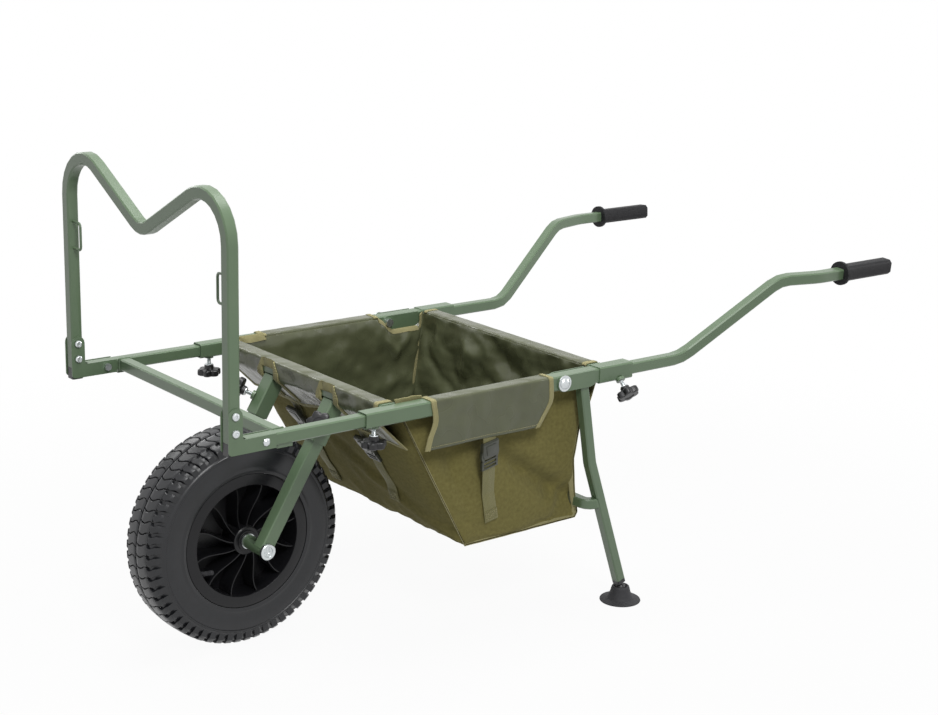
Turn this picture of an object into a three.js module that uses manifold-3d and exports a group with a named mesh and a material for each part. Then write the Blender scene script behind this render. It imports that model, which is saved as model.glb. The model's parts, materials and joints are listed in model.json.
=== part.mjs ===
// Fishing trolley: a single-wheeled carp barrow of square steel tube with a drop-in bag.
// Millimetres. X runs from the front wheel (-) to the handles (+), Y from the user's left (-)
// to the right (+), and Z up from the ground. The pieces are laid out from the wheel's axle,
// and the group then moves them so that the origin is under the middle of the whole trolley.
import * as THREE from 'three';
import { mergeVertices } from 'three/addons/utils/BufferGeometryUtils.js';
import Module from 'manifold-3d';

const wasm = await Module();
wasm.setup();

// Tubes
const railTube = 28;
const railWall = 2;
const slideTube = 22;
const slideWall = 1.6;
const forkTube = 27;
const forkWall = 2;
const socketWall = 2;
const socketClearance = 0.5;
const legTube = 20;
const legWall = 1.6;
const tubeCorner = 2.4;

// Main frame
const railRiseOverTyre = 71.5;
const railSpacing = 562;
const railLength = 627;
const railFrontX = 89;
const crossbarSetback = 65;
const clampSleeveLength = 85;
const clampSleeveWall = 1.8;
const rearCrossbarSetback = 71;

// Front extension
const extensionReach = 176;
const extensionOverlap = 240;
const stubLength = 62;
const cornerLugLength = 30;
const cornerLugHeight = 6;

// M bar
const barFrontReach = 96;
const barRise = 420;
const barValleyRise = 306;
const barHumpRadius = 76;
const barValleyRadius = 52;
const barSlopeDegrees = 28;
const postBottomRise = 6.5;
const capHeadLength = 22;
const capSpigotLength = 12;
const loopHeight = 50;
const loopReach = 30;
const loopWire = 5;
const loopRise = 259;
const loopBend = 7;

// Bar brackets
const bracketSheet = 2;
const bracketArmWidth = 27;
const bracketArmHeight = 25;
const bracketCornerRadius = 7;
const bracketTailGap = 6;
const postBoltPitch = 29;
const postBoltRise = 24;
const pivotBoltSetback = 26;

// Fork and axle
const forkHalfSpacing = 100;
const socketLength = 90;
const forkInsertion = 72;
const axleBossRadius = 13;
const axleRadius = 8;
const axleHeadRadius = 15;
const axleHeadHeight = 6.5;
const axleNutRadius = 13;
const axleNutHeight = 10;
const axleWasherRadius = 14.5;
const axleWasherThickness = 1.5;

// Wheel
const tyreRadius = 204;
const tyreWidth = 106;
const treadDepth = 5;
const carcassBulgeShare = 0.38;
const carcassShoulderShare = 0.66;
const treadWidth = 92;
const treadLugs = 40;
const treadLugLength = 18;
const middleRibShare = 0.4;
const grooveShare = 0.06;
const lugCrownShare = 0.86;
const lugReachShare = 1.07;
const rimFlangeRadius = 128.5;
const rimWidth = 100;
const rimSeatRadius = 113;
const rimLipDepth = 6;
const rimFlangeInnerRadius = rimSeatRadius - rimLipDepth;
const rimWall = 4;
const rimRibs = 12;
const rimRibThickness = 3;
const rimRibInset = 9;
const rimRibBow = 11;
const rimRibSteps = 4;
const hubRadius = 27;
const hubLength = 100;

// Rear leg frame
const pivotSetback = 176;
const legBracketSheet = 2.5;
const legBracketTail = 77;
const legBracketWebLength = 44;
const legTopSetback = 56;
const legKneeDrop = 175;
const legKneeReach = 85;
const legFootReach = 178;
const legKneeSplay = 4;
const legFootSplay = 11;
const legBendRadius = 60;
const braceDrop = 260;
const braceReach = 20;
const braceBendRadius = 16;
const pivotBoltRadius = 5;
const pivotHeadRadius = 11;
const pivotHeadHeight = 5;
const pivotHeadEdge = 1.5;
const pivotDomeRadiusShare = 0.65;
const pivotDomeHeightShare = 0.9;
const pivotNutRadius = 8.8;
const pivotWasherRadius = 15.5;
const pivotWasherThickness = 2;

// Feet
const ballHeight = 26;
const ballRadius = 11;
const ballNeckRadius = 6;
const legPlugDrop = 14;
const legPlugHead = 8;
const legPlugSpigot = 16;
const footRadius = 41;
const footThickness = 3;
const footRimShare = 0.6;
const cupBaseRise = 1;
const cupLip = 2;
const cupBowlDegrees = [90, 60, 30, 0, -24];
const cupBaseRadius = 27;
const cupTopRadius = 17;
const cupRise = 4;

// Handles
const handleInsertion = 158;
const handleLowRun = 144;
const handleRiseRun = 208;
const handleRise = 145;
const handleRiseSplay = 62;
const handleLevelRun = 90;
const handleSplay = 86;
const handleBendRadius = 70;
const handleLevelBendRadius = 110;
const gripStart = 507;
const gripLength = 147;
const gripSize = 31;
const gripCorner = 6;
const gripFlangeRadius = 24.5;
const gripFlangeThickness = 6;
const gripEndWall = 5;

// Clamp knobs
const knobRadius = 23.5;
const knobLobes = 6;
const knobLobeDepth = 3.2;
const knobThickness = 13;
const knobHubRadius = 9.5;
const knobHubLength = 8;
const studRadius = 4;
const studLength = 15;
const bossRadius = 9;
const bossHeight = 4;
const frontClampSetback = 26;
const forkClampDrop = 48;
const rearClampSetback = 31;

// Bolts
const boltRadius = 4;
const boltHeadRadius = 7;
const boltHeadHeight = 4;
const boltNutRadius = 7;
const boltNutHeight = 6;
const nutPlateSheet = 3;

// Bag
const bagWall = 3;
const bagDrop = 293.5;
const bagBottomSetback = 191;
const bagBottomInset = 10;
const bagToe = 4;
const bagToeRise = 12;
const bagBraceGap = 1.3;
const bagFootRise = 50;
const bagRearWaist = 24;
const bagWaistDrop = 170;
const bagCorner = 9;
const bagCornerCutLength = 112;
const bagCornerCutDepth = 33;
const flapSheet = 2;
const flapEndGap = 10;
const sideFlapSetback = 75;
const flapPivotSetback = 28;
const sideFlapFlare = 7;
const sideFlapTuck = 30;
const sideFlapDrop = 76;
const frontHemReach = 52;
const frontHemDrop = 82;
const frontWindowWidth = 42;
const frontWindowTop = 6;
const frontWindowReach = 24;
const rearHemReach = 6;
const rearHemDrop = 76;
const strapWidth = 25;
const strapSheet = 1.6;
const sideStrapSetback = 4.5;
const sideStrapSlantShare = 0.2;
const sideStrapMeetDrop = 216;
const sideStrapEndDrop = 254;
const endStrapSpacing = 230;
const rearStrapSpacing = 420;
const frontStrapMeetDrop = 165;
const frontStrapEndDrop = 250;
const rearStrapMeetDrop = 158;
const rearStrapEndDrop = 168;
const buckleLength = 52;
const buckleWidth = 31;
const buckleThickness = 8;
const buckleSplitShare = 0.36;
const plugShare = 0.7;
const buckleSetback = 12;

// Gaps between neighbouring pieces
const seatGap = 0.3;
const weldGap = 0.2;
const cutOverrun = 20;

// Places that follow from the sizes above
const railHeight = 2 * tyreRadius + railRiseOverTyre;
const railY = railSpacing / 2;
const railRearX = railFrontX + railLength;
const railTop = railHeight + railTube / 2;
const railBottom = railHeight - railTube / 2;
const crossbarX = railFrontX + crossbarSetback;
const barTopHeight = railHeight + barRise;
const barValleyHeight = railHeight + barValleyRise;
const postBottomHeight = railHeight + postBottomRise;
const loopCentreHeight = railHeight + loopRise;
const rearCrossbarX = railRearX - rearCrossbarSetback;
const extensionFrontX = railFrontX - extensionReach;
const postX = extensionFrontX - barFrontReach + slideTube / 2;
const pivotX = railRearX - pivotSetback;
const barPivotX = extensionFrontX - pivotBoltSetback;
const socketTube = forkTube + 2 * (socketWall + socketClearance);
const axleToEdgeX = crossbarX - railTube / 2;
const axleToEdgeZ = railBottom - tyreRadius;
const forkAngle = Math.atan2(axleToEdgeX, axleToEdgeZ)
  + Math.asin(socketTube / 2 / Math.hypot(axleToEdgeX, axleToEdgeZ));
const forkUp = new THREE.Vector3(Math.sin(forkAngle), 0, Math.cos(forkAngle));
const forkFront = new THREE.Vector3(-Math.cos(forkAngle), 0, Math.sin(forkAngle));
const sleeveTube = railTube + 2 * clampSleeveWall;
const boltHoleRadius = boltRadius + seatGap;
const studHoleRadius = studRadius + seatGap;

// Finishes
const greenPaint = { color: 0x5f7a5e, roughness: 0.5, metalness: 0.1 };
const blackRubber = { color: 0x232425, roughness: 0.85, metalness: 0 };
const blackPlastic = { color: 0x1b1b1c, roughness: 0.55, metalness: 0 };
const zinc = { color: 0xc9cccd, roughness: 0.35, metalness: 0.9 };
const khakiCloth = { color: 0x6f6a3c, roughness: 0.95, metalness: 0 };
const coatedCloth = { color: 0x585c44, roughness: 0.6, metalness: 0 };
const webbing = { color: 0x6a6745, roughness: 0.9, metalness: 0 };

const trolley = new THREE.Group();

function addPiece(name, geometry, finish, parent = trolley) {
  const piece = new THREE.Mesh(geometry, new THREE.MeshStandardMaterial(finish));
  piece.name = name;
  parent.add(piece);
  return piece;
}

// A closed indexed copy with its faces pointing out.
function closed(geometry) {
  const bare = geometry.clone();
  bare.deleteAttribute('normal');
  bare.deleteAttribute('uv');
  const merged = mergeVertices(bare, 1e-3);
  const position = merged.attributes.position;
  const index = merged.index;
  const kept = [];
  for (let i = 0; i < index.count; i += 3) {
    const [a, b, c] = [index.getX(i), index.getX(i + 1), index.getX(i + 2)];
    if (a !== b && b !== c && c !== a) kept.push(a, b, c);
  }
  const corner = [new THREE.Vector3(), new THREE.Vector3(), new THREE.Vector3()];
  let volume = 0;
  for (let i = 0; i < kept.length; i += 3) {
    corner.forEach((point, k) => point.fromBufferAttribute(position, kept[i + k]));
    volume += corner[0].dot(corner[1].clone().cross(corner[2]));
  }
  if (volume < 0) {
    for (let i = 0; i < kept.length; i += 3) {
      [kept[i + 1], kept[i + 2]] = [kept[i + 2], kept[i + 1]];
    }
  }
  merged.setIndex(kept);
  return merged;
}

function solid(geometry) {
  const mesh = closed(geometry);
  const vertProperties = new Float32Array(mesh.attributes.position.array);
  const triVerts = new Uint32Array(mesh.index.array);
  return new wasm.Manifold(new wasm.Mesh({ numProp: 3, vertProperties, triVerts }));
}

function geometryOf(manifold) {
  const mesh = manifold.getMesh();
  const geometry = new THREE.BufferGeometry();
  geometry.setAttribute('position', new THREE.BufferAttribute(mesh.vertProperties, 3));
  geometry.setIndex(new THREE.BufferAttribute(mesh.triVerts, 1));
  return closed(geometry);
}

function joined(...geometries) {
  return geometryOf(geometries.map(solid).reduce((all, next) => all.add(next)));
}

function cut(geometry, ...tools) {
  return geometryOf(tools.map(solid).reduce((left, tool) => left.subtract(tool), solid(geometry)));
}

function box(minX, maxX, minY, maxY, minZ, maxZ) {
  const geometry = new THREE.BoxGeometry(maxX - minX, maxY - minY, maxZ - minZ);
  return geometry.translate((minX + maxX) / 2, (minY + maxY) / 2, (minZ + maxZ) / 2);
}

// A box on one side of the trolley, given by its distances from the middle line.
function sideBox(side, minX, maxX, near, far, minZ, maxZ) {
  return box(minX, maxX, Math.min(side * near, side * far), Math.max(side * near, side * far),
    minZ, maxZ);
}

// A geometry built along +Y, turned to point along a direction from a start point.
function aimed(geometry, start, direction) {
  const turn = new THREE.Quaternion().setFromUnitVectors(
    new THREE.Vector3(0, 1, 0), direction.clone().normalize());
  return geometry.clone().applyQuaternion(turn).translate(start.x, start.y, start.z);
}

// A revolved solid along a direction; each profile point is [radius, distance along it].
function turned(profile, segments, start, direction) {
  const points = profile.map(([radius, along]) => new THREE.Vector2(radius, along));
  return aimed(new THREE.LatheGeometry(points, segments), start, direction);
}

function rod(start, direction, length, radius, segments = 16) {
  return turned([[0, 0], [radius, 0], [radius, length], [0, length]], segments, start, direction);
}

// A flat outline in the X-Z plane, given thickness along Y from one side to the other.
function plate(shape, minY, maxY, curveSteps = 6) {
  const options = { depth: maxY - minY, bevelEnabled: false, curveSegments: curveSteps };
  const geometry = new THREE.ExtrudeGeometry(shape, options);
  return geometry.rotateX(Math.PI / 2).translate(0, maxY, 0);
}

// A route of straight runs with round bends, whose steps fall only where it bends.
class BentRoute extends THREE.Curve {
  constructor(corners, bendRadii, stepDegrees = 12) {
    super();
    this.places = [];
    const firstRun = corners[1].clone().sub(corners[0]).normalize();
    this.places.push({ point: corners[0].clone(), tangent: firstRun });
    for (let i = 1; i < corners.length - 1; i += 1) {
      this.addBend(corners[i - 1], corners[i], corners[i + 1], bendRadii[i - 1], stepDegrees);
    }
    const lastRun = corners.at(-1).clone().sub(corners.at(-2)).normalize();
    this.places.push({ point: corners.at(-1).clone(), tangent: lastRun });
  }

  addBend(before, corner, after, radius, stepDegrees) {
    const arriving = corner.clone().sub(before).normalize();
    const leaving = after.clone().sub(corner).normalize();
    const angle = arriving.angleTo(leaving);
    const setback = radius * Math.tan(angle / 2);
    const start = corner.clone().addScaledVector(arriving, -setback);
    const inward = leaving.clone().addScaledVector(arriving, -leaving.dot(arriving)).normalize();
    const steps = Math.max(2, Math.round(THREE.MathUtils.radToDeg(angle) / stepDegrees));
    for (let step = 0; step <= steps; step += 1) {
      const turn = angle * step / steps;
      const point = start.clone()
        .addScaledVector(arriving, radius * Math.sin(turn))
        .addScaledVector(inward, radius * (1 - Math.cos(turn)));
      const tangent = arriving.clone().multiplyScalar(Math.cos(turn))
        .addScaledVector(inward, Math.sin(turn));
      this.places.push({ point, tangent });
    }
  }

  get steps() {
    return this.places.length - 1;
  }

  getPointAt(share, target = new THREE.Vector3()) {
    return target.copy(this.places[Math.round(share * this.steps)].point);
  }

  getTangentAt(share, target = new THREE.Vector3()) {
    return target.copy(this.places[Math.round(share * this.steps)].tangent);
  }
}

function squareOutline(size, corner) {
  const half = size / 2;
  const shape = new THREE.Shape();
  shape.moveTo(half - corner, -half);
  shape.lineTo(half, -half + corner);
  shape.lineTo(half, half - corner);
  shape.lineTo(half - corner, half);
  shape.lineTo(-half + corner, half);
  shape.lineTo(-half, half - corner);
  shape.lineTo(-half, -half + corner);
  shape.lineTo(-half + corner, -half);
  shape.closePath();
  return shape;
}

function squareHole(size) {
  const half = size / 2;
  const hole = new THREE.Path();
  hole.moveTo(-half, -half);
  hole.lineTo(-half, half);
  hole.lineTo(half, half);
  hole.lineTo(half, -half);
  hole.closePath();
  return hole;
}

// An outline swept along a route, with its sides square to the given direction at the start.
function swept(shape, route, squareTo) {
  const frames = route.computeFrenetFrames(route.steps, false);
  const angle = Math.atan2(squareTo.dot(frames.binormals[0]), squareTo.dot(frames.normals[0]));
  const turnedPoint = (point) => point.clone().rotateAround(new THREE.Vector2(), angle);
  const outline = new THREE.Shape(shape.getPoints(3).map(turnedPoint));
  outline.holes = shape.holes.map((hole) => new THREE.Path(hole.getPoints(3).map(turnedPoint)));
  const options = { steps: route.steps, extrudePath: route, bevelEnabled: false };
  return closed(new THREE.ExtrudeGeometry(outline, options));
}

const upward = new THREE.Vector3(0, 0, 1);

function squareTube(corners, bendRadii, size, wall, squareTo = upward, stepDegrees = 15) {
  const shape = squareOutline(size, tubeCorner);
  shape.holes.push(squareHole(size - 2 * wall));
  return swept(shape, new BentRoute(corners, bendRadii, stepDegrees), squareTo);
}

function squareBar(corners, size, squareTo = upward) {
  return swept(squareOutline(size, tubeCorner), new BentRoute(corners, []), squareTo);
}

function point(x, y, z) {
  return new THREE.Vector3(x, y, z);
}

const alongY = new THREE.Vector3(0, 1, 0);
const sides = [{ side: -1, name: 'left' }, { side: 1, name: 'right' }];

// A bolt with a domed head at the start, a nut at the far end of the grip, and its plain shank.
function bolt(start, direction, grip, sizes) {
  const { shank, head, headHeight, nut, nutHeight, segments = 12 } = sizes;
  const bodyProfile = [
    [0, -headHeight], [head * 0.6, -headHeight], [head, -headHeight * 0.4], [head, 0],
    [shank, 0], [shank, grip], [nut, grip], [nut, grip + nutHeight], [0, grip + nutHeight],
  ];
  return turned(bodyProfile, segments, start, direction);
}

const smallBolt = {
  shank: boltRadius,
  head: boltHeadRadius,
  headHeight: boltHeadHeight,
  nut: boltNutRadius,
  nutHeight: boltNutHeight,
  segments: 8,
};

const frontClampX = railFrontX + frontClampSetback;

// The rear clamp's stud comes in square to the sleeve's lower outer corner.
const rearClampX = railRearX - rearClampSetback;

function rearClampAxis(side) {
  return point(0, side, -1).normalize();
}

function rearClampCorner(side) {
  const corner = sleeveTube / 2 - tubeCorner / 2;
  return point(rearClampX, side * (railY + corner), railHeight - corner);
}

function alongX(minX, maxX, y, z) {
  return [point(minX, y, z), point(maxX, y, z)];
}

// Main rails: each has a clamp boss under its front end, a hole for the leg pivot, and a
// thicker sleeve with a corner boss at the rear where the handle is clamped.
function mainRail(side) {
  const y = side * railY;
  const tube = squareBar(alongX(railFrontX, railRearX - railWall, y, railHeight), railTube);
  const sleeve = squareBar(alongX(railRearX - clampSleeveLength, railRearX, y, railHeight), sleeveTube);
  const frontBoss = rod(point(frontClampX, y, railBottom - bossHeight), upward,
    bossHeight + railWall / 2, bossRadius, 14);
  const rearAxis = rearClampAxis(side);
  const rearCorner = rearClampCorner(side);
  const rearBoss = rod(rearCorner.clone().addScaledVector(rearAxis, -railWall), rearAxis,
    bossHeight + railWall, bossRadius, 14);
  const hollow = swept(squareOutline(railTube - 2 * railWall, railWall / 2), new BentRoute(
    alongX(railFrontX - cutOverrun, railRearX + cutOverrun, y, railHeight), []), upward);
  const frontStudHole = rod(point(frontClampX, y, railBottom - bossHeight - cutOverrun), upward,
    cutOverrun + bossHeight + railTube / 2, studHoleRadius, 12);
  const rearStudHole = rod(rearCorner.clone().addScaledVector(rearAxis, -railTube / 2), rearAxis,
    railTube / 2 + cutOverrun, studHoleRadius, 12);
  const pivotHole = rod(point(pivotX, y - railTube, railHeight), alongY,
    2 * railTube, pivotBoltRadius + seatGap, 12);
  return cut(joined(tube, sleeve, frontBoss, rearBoss), hollow, frontStudHole, rearStudHole,
    pivotHole);
}

// Cross members
function crossMember(x, size, wall, halfLength) {
  return squareTube([point(x, -halfLength, railHeight), point(x, halfLength, railHeight)],
    [], size, wall);
}

const crossbarHalfLength = railY - railTube / 2 - weldGap;
const rearCrossbarHalfLength = railY - sleeveTube / 2 - weldGap;

// Fork sockets hang below the main crossbar, with their front face meeting its lower front edge.
const socketTop = point(crossbarX - railTube / 2, 0, railBottom)
  .addScaledVector(forkFront, -socketTube / 2);
const axlePoint = point(0, 0, tyreRadius);
const socketTopAlong = socketTop.clone().sub(axlePoint).dot(forkUp);
const socketBottomAlong = socketTopAlong + Math.tan(forkAngle) * socketTube / 2 - socketLength;

function onFork(along, y, frontward = 0) {
  return axlePoint.clone().setY(y)
    .addScaledVector(forkUp, along)
    .addScaledVector(forkFront, frontward);
}

const forkClampAlong = socketTopAlong - forkClampDrop;

// The fork's clamps point forwards and outwards from the outer front corner of each socket.
function forkClampAxis(side) {
  return forkFront.clone().addScaledVector(alongY, side).normalize();
}

function forkClampCorner(side) {
  const corner = socketTube / 2 - tubeCorner / 2;
  return onFork(forkClampAlong, side * (forkHalfSpacing + corner), corner);
}

function forkSocket(side) {
  const y = side * forkHalfSpacing;
  const body = squareBar(
    [onFork(socketBottomAlong, y), onFork(socketTopAlong + socketTube, y)], socketTube, alongY);
  const clampAxis = forkClampAxis(side);
  const bossStart = forkClampCorner(side).addScaledVector(clampAxis, -socketWall);
  const boss = rod(bossStart, clampAxis, bossHeight + socketWall, bossRadius, 14);
  const bore = swept(squareOutline(socketTube - 2 * socketWall, tubeCorner),
    new BentRoute([onFork(socketBottomAlong - cutOverrun, y),
      onFork(socketTopAlong + 2 * socketTube, y)], []), alongY);
  const studHole = rod(bossStart.clone().addScaledVector(clampAxis, -3 * socketWall),
    clampAxis, cutOverrun, studHoleRadius, 12);
  const aboveCrossbar = box(socketTop.x - 3 * socketTube, socketTop.x + 3 * socketTube,
    y - socketTube, y + socketTube, railBottom - weldGap, railTop + 2 * socketTube);
  return cut(joined(body, boss), bore, studHole, aboveCrossbar);
}

addPiece('rail_left', mainRail(-1), greenPaint);
addPiece('rail_right', mainRail(1), greenPaint);
addPiece('main_crossbar', crossMember(crossbarX, railTube, railWall, crossbarHalfLength), greenPaint);
addPiece('rear_crossbar',
  crossMember(rearCrossbarX, railTube, railWall, rearCrossbarHalfLength), greenPaint);
for (const { side, name } of sides) {
  addPiece(`fork_socket_${name}`, forkSocket(side), greenPaint);
}

// Front extension: each side tube runs on as a short stub that carries the bar's bracket.
const stubFrontX = extensionFrontX - stubLength;
const slideBottom = railHeight - slideTube / 2;

function extensionTube(side) {
  const y = side * railY;
  const tube = squareTube(
    [point(stubFrontX, y, railHeight), point(railFrontX + extensionOverlap, y, railHeight)],
    [], slideTube, slideWall);
  const lug = box(extensionFrontX - slideWall, extensionFrontX - slideWall + cornerLugLength,
    y - slideTube / 2 + tubeCorner, y + slideTube / 2 - tubeCorner,
    slideBottom - cornerLugHeight, slideBottom + slideWall / 2);
  const pivotHole = rod(point(barPivotX, y - slideTube, railHeight), alongY,
    2 * slideTube, boltHoleRadius, 12);
  return cut(joined(tube, lug), pivotHole);
}

for (const { side, name } of sides) {
  addPiece(`extension_tube_${name}`, extensionTube(side), greenPaint);
}
addPiece('front_crossbar', crossMember(extensionFrontX + slideTube / 2, slideTube, slideWall,
  railY - slideTube / 2 - weldGap), greenPaint);

// The M bar: two posts, two round humps and a valley between them.
const lowerBoltZ = railHeight + postBoltRise;
const upperBoltZ = lowerBoltZ + postBoltPitch;

function bracketHoles(side) {
  const y = side * railY;
  const start = y - slideTube;
  return [
    rod(point(postX, start, lowerBoltZ), alongY, 2 * slideTube, boltHoleRadius, 12),
    rod(point(postX, start, upperBoltZ), alongY, 2 * slideTube, boltHoleRadius, 12),
    rod(point(barPivotX, start, railHeight), alongY, 2 * slideTube, boltHoleRadius, 12),
  ];
}

// Where the post's line meets the slope's line, for a hump whose arc touches both.
function humpCorner() {
  const slope = THREE.MathUtils.degToRad(barSlopeDegrees);
  const arcCentreZ = barTopHeight - slideTube / 2 - barHumpRadius;
  const turn = Math.PI / 2 + slope;
  return arcCentreZ + barHumpRadius * Math.tan(turn / 2);
}

// Wire loops for tying down, welded into the inner face of each post.
function tieLoop(side) {
  const face = side * (railY - slideTube / 2 + slideWall / 2);
  const reach = side * (railY - slideTube / 2 - loopReach + loopWire / 2);
  const top = loopCentreHeight + loopHeight / 2;
  const bottom = loopCentreHeight - loopHeight / 2;
  const corners = [point(postX, face, bottom), point(postX, reach, bottom),
    point(postX, reach, top), point(postX, face, top)];
  const ring = new THREE.Shape().absarc(0, 0, loopWire / 2, 0, 2 * Math.PI);
  const section = new THREE.Shape(ring.getPoints(4).slice(0, -1));
  return swept(section, new BentRoute(corners, [loopBend, loopBend], 30), point(1, 0, 0));
}

function mBar() {
  const slope = THREE.MathUtils.degToRad(barSlopeDegrees);
  const valleyCentre = barValleyHeight + slideTube / 2;
  const valleyCornerZ = valleyCentre - barValleyRadius * (1 / Math.cos(slope) - 1);
  const cornerZ = humpCorner();
  const corners = [
    point(postX, -railY, postBottomHeight),
    point(postX, -railY, cornerZ),
    point(postX, 0, valleyCornerZ),
    point(postX, railY, cornerZ),
    point(postX, railY, postBottomHeight),
  ];
  const bar = squareTube(corners, [barHumpRadius, barValleyRadius, barHumpRadius],
    slideTube, slideWall, alongY);
  const holes = sides.flatMap(({ side }) => bracketHoles(side).slice(0, 2));
  return cut(joined(bar, ...sides.map(({ side }) => tieLoop(side))), ...holes);
}

addPiece('m_bar', mBar(), greenPaint);

// End caps: a block the size of the tube under each post, with a spigot inside it.
function endCap(side) {
  const y = side * railY;
  const capTop = postBottomHeight - seatGap;
  const head = squareBar([point(postX, y, capTop - capHeadLength), point(postX, y, capTop)],
    slideTube, alongY);
  const half = slideTube / 2 - slideWall - seatGap;
  const spigot = box(postX - half, postX + half, y - half, y + half,
    capTop - slideWall, postBottomHeight + capSpigotLength);
  return joined(head, spigot);
}

for (const { side, name } of sides) {
  addPiece(`post_cap_${name}`, endCap(side), blackPlastic);
}

// L brackets: two cheeks of sheet joined by a web under the stub.
function bracketOutline() {
  const postRear = postX - slideTube / 2 - bracketSheet + bracketArmWidth;
  const front = postX - slideTube / 2 - bracketSheet;
  const bottom = slideBottom - seatGap - bracketSheet;
  const tail = extensionFrontX - bracketTailGap;
  const armTop = bottom + bracketArmHeight;
  const topRadius = (postRear - front) / 2;
  const shape = new THREE.Shape();
  shape.moveTo(front + bracketCornerRadius, bottom);
  shape.lineTo(tail, bottom);
  shape.lineTo(tail, armTop);
  shape.lineTo(postRear + bracketCornerRadius / 2, armTop);
  shape.lineTo(postRear, armTop + bracketCornerRadius / 2);
  shape.lineTo(postRear, upperBoltZ);
  shape.absarc(front + topRadius, upperBoltZ, topRadius, 0, Math.PI, false);
  shape.lineTo(front, bottom + bracketCornerRadius);
  shape.absarc(front + bracketCornerRadius, bottom + bracketCornerRadius, bracketCornerRadius,
    Math.PI, 1.5 * Math.PI, false);
  return shape;
}

function barBracket(side) {
  const y = side * railY;
  const inner = slideTube / 2 + seatGap;
  const outer = inner + bracketSheet;
  const cheeks = [
    plate(bracketOutline(), y - outer, y - inner, 4),
    plate(bracketOutline(), y + inner, y + outer, 4),
  ];
  const webBottom = slideBottom - seatGap - bracketSheet;
  const web = box(postX + slideTube / 2 + seatGap, barPivotX - slideTube / 2 - 3 * seatGap,
    y - outer + bracketSheet / 2, y + outer - bracketSheet / 2, webBottom, webBottom + bracketSheet);
  return cut(joined(cheeks[0], cheeks[1], web), ...bracketHoles(side));
}

const bracketBoltGrip = slideTube / 2 + seatGap + bracketSheet + weldGap;

function bracketBolt(side, x, z) {
  const start = side * (railY + bracketBoltGrip);
  return bolt(point(x, start, z), point(0, -side, 0), 2 * bracketBoltGrip, smallBolt);
}

// The two post bolts share one nut plate on the inner cheek.
function postBolts(side) {
  const seat = railY - bracketBoltGrip;
  const plateBox = sideBox(side, postX - boltNutRadius, postX + boltNutRadius,
    seat - nutPlateSheet, seat, lowerBoltZ - boltNutRadius, upperBoltZ + boltNutRadius);
  return joined(bracketBolt(side, postX, lowerBoltZ), bracketBolt(side, postX, upperBoltZ),
    plateBox);
}

for (const { side, name } of sides) {
  addPiece(`bar_bracket_${name}`, barBracket(side), greenPaint);
  addPiece(`post_bolts_${name}`, postBolts(side), zinc);
  addPiece(`bar_pivot_bolt_${name}`, bracketBolt(side, barPivotX, railHeight), zinc);
}

// Fork legs with a boss tube across the bottom of each for the axle.
const hubHalf = hubLength / 2;
const bossInner = hubHalf + axleWasherThickness + 2 * seatGap;
const bossOuter = forkHalfSpacing + forkTube / 2 + weldGap;

function forkLeg(side) {
  const y = side * forkHalfSpacing;
  const top = socketBottomAlong + forkInsertion;
  const leg = squareBar([onFork(0, y), onFork(top, y)], forkTube, alongY);
  const hollow = swept(squareOutline(forkTube - 2 * forkWall, forkWall / 2),
    new BentRoute([onFork(axleBossRadius + forkWall, y), onFork(top + cutOverrun, y)], []), alongY);
  const boss = rod(point(0, side * bossInner, tyreRadius), point(0, side, 0),
    bossOuter - bossInner, axleBossRadius, 20);
  const bore = rod(point(0, side * (bossInner - cutOverrun), tyreRadius), point(0, side, 0),
    bossOuter - bossInner + 2 * cutOverrun, axleRadius + seatGap, 20);
  return cut(joined(leg, boss), hollow, bore);
}

for (const { side, name } of sides) {
  addPiece(`fork_leg_${name}`, forkLeg(side), greenPaint);
}

const axleSeat = bossOuter + seatGap;
addPiece('axle_bolt', bolt(point(0, -axleSeat, tyreRadius), alongY, 2 * axleSeat, {
  shank: axleRadius,
  head: axleHeadRadius,
  headHeight: axleHeadHeight,
  nut: axleNutRadius,
  nutHeight: axleNutHeight,
  segments: 20,
}), zinc);

function axleWasher(side) {
  const bore = axleRadius + seatGap;
  const near = side * (hubHalf + seatGap);
  return turned([[bore, 0], [axleWasherRadius, 0], [axleWasherRadius, axleWasherThickness],
    [bore, axleWasherThickness], [bore, 0]], 20, point(0, near, tyreRadius), point(0, side, 0));
}

for (const { side, name } of sides) {
  addPiece(`axle_washer_${name}`, axleWasher(side), zinc);
}

// Rim: two flanges, a seat for the tyre, a middle web, a hub and curved ribs on both faces.
// The rim and tyre share their facets, so the gap between them is even.
function aroundAxle(profile) {
  return turned(profile, treadLugs, axlePoint, alongY);
}

function rimBody() {
  const half = rimWidth / 2;
  const bore = axleRadius + seatGap;
  const barrel = rimSeatRadius - rimWall;
  const oneSide = [
    [bore, hubHalf], [hubRadius, hubHalf], [hubRadius + rimWall / 2, rimWall / 2],
    [barrel, rimWall / 2], [rimFlangeInnerRadius, half - rimWall],
    [rimFlangeInnerRadius, half], [rimFlangeRadius - rimWall / 2, half],
    [rimFlangeRadius, half - rimWall],
    [rimSeatRadius + rimWall, half - 2 * rimWall], [rimSeatRadius, half - 3 * rimWall],
  ];
  const otherSide = oneSide.map(([radius, along]) => [radius, -along]).reverse();
  return aroundAxle([...oneSide, ...otherSide, oneSide[0]]);
}

// One rib: a thin strip that curves from the hub out to the barrel.
function rimRib(index) {
  const from = hubRadius - rimWall / 2;
  const to = rimSeatRadius - rimWall / 2;
  const edge = (offset) => Array.from({ length: rimRibSteps + 1 }, (unused, i) => {
    const share = i / rimRibSteps;
    return new THREE.Vector2(from + (to - from) * share,
      rimRibBow * Math.sin(Math.PI * share) + offset);
  });
  const outline = [...edge(-rimRibThickness / 2), ...edge(rimRibThickness / 2).reverse()];
  const depth = rimWidth / 2 - rimRibInset;
  const rib = plate(new THREE.Shape(outline), -depth, depth);
  return rib.rotateY(index * 2 * Math.PI / rimRibs).translate(0, 0, tyreRadius);
}

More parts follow.
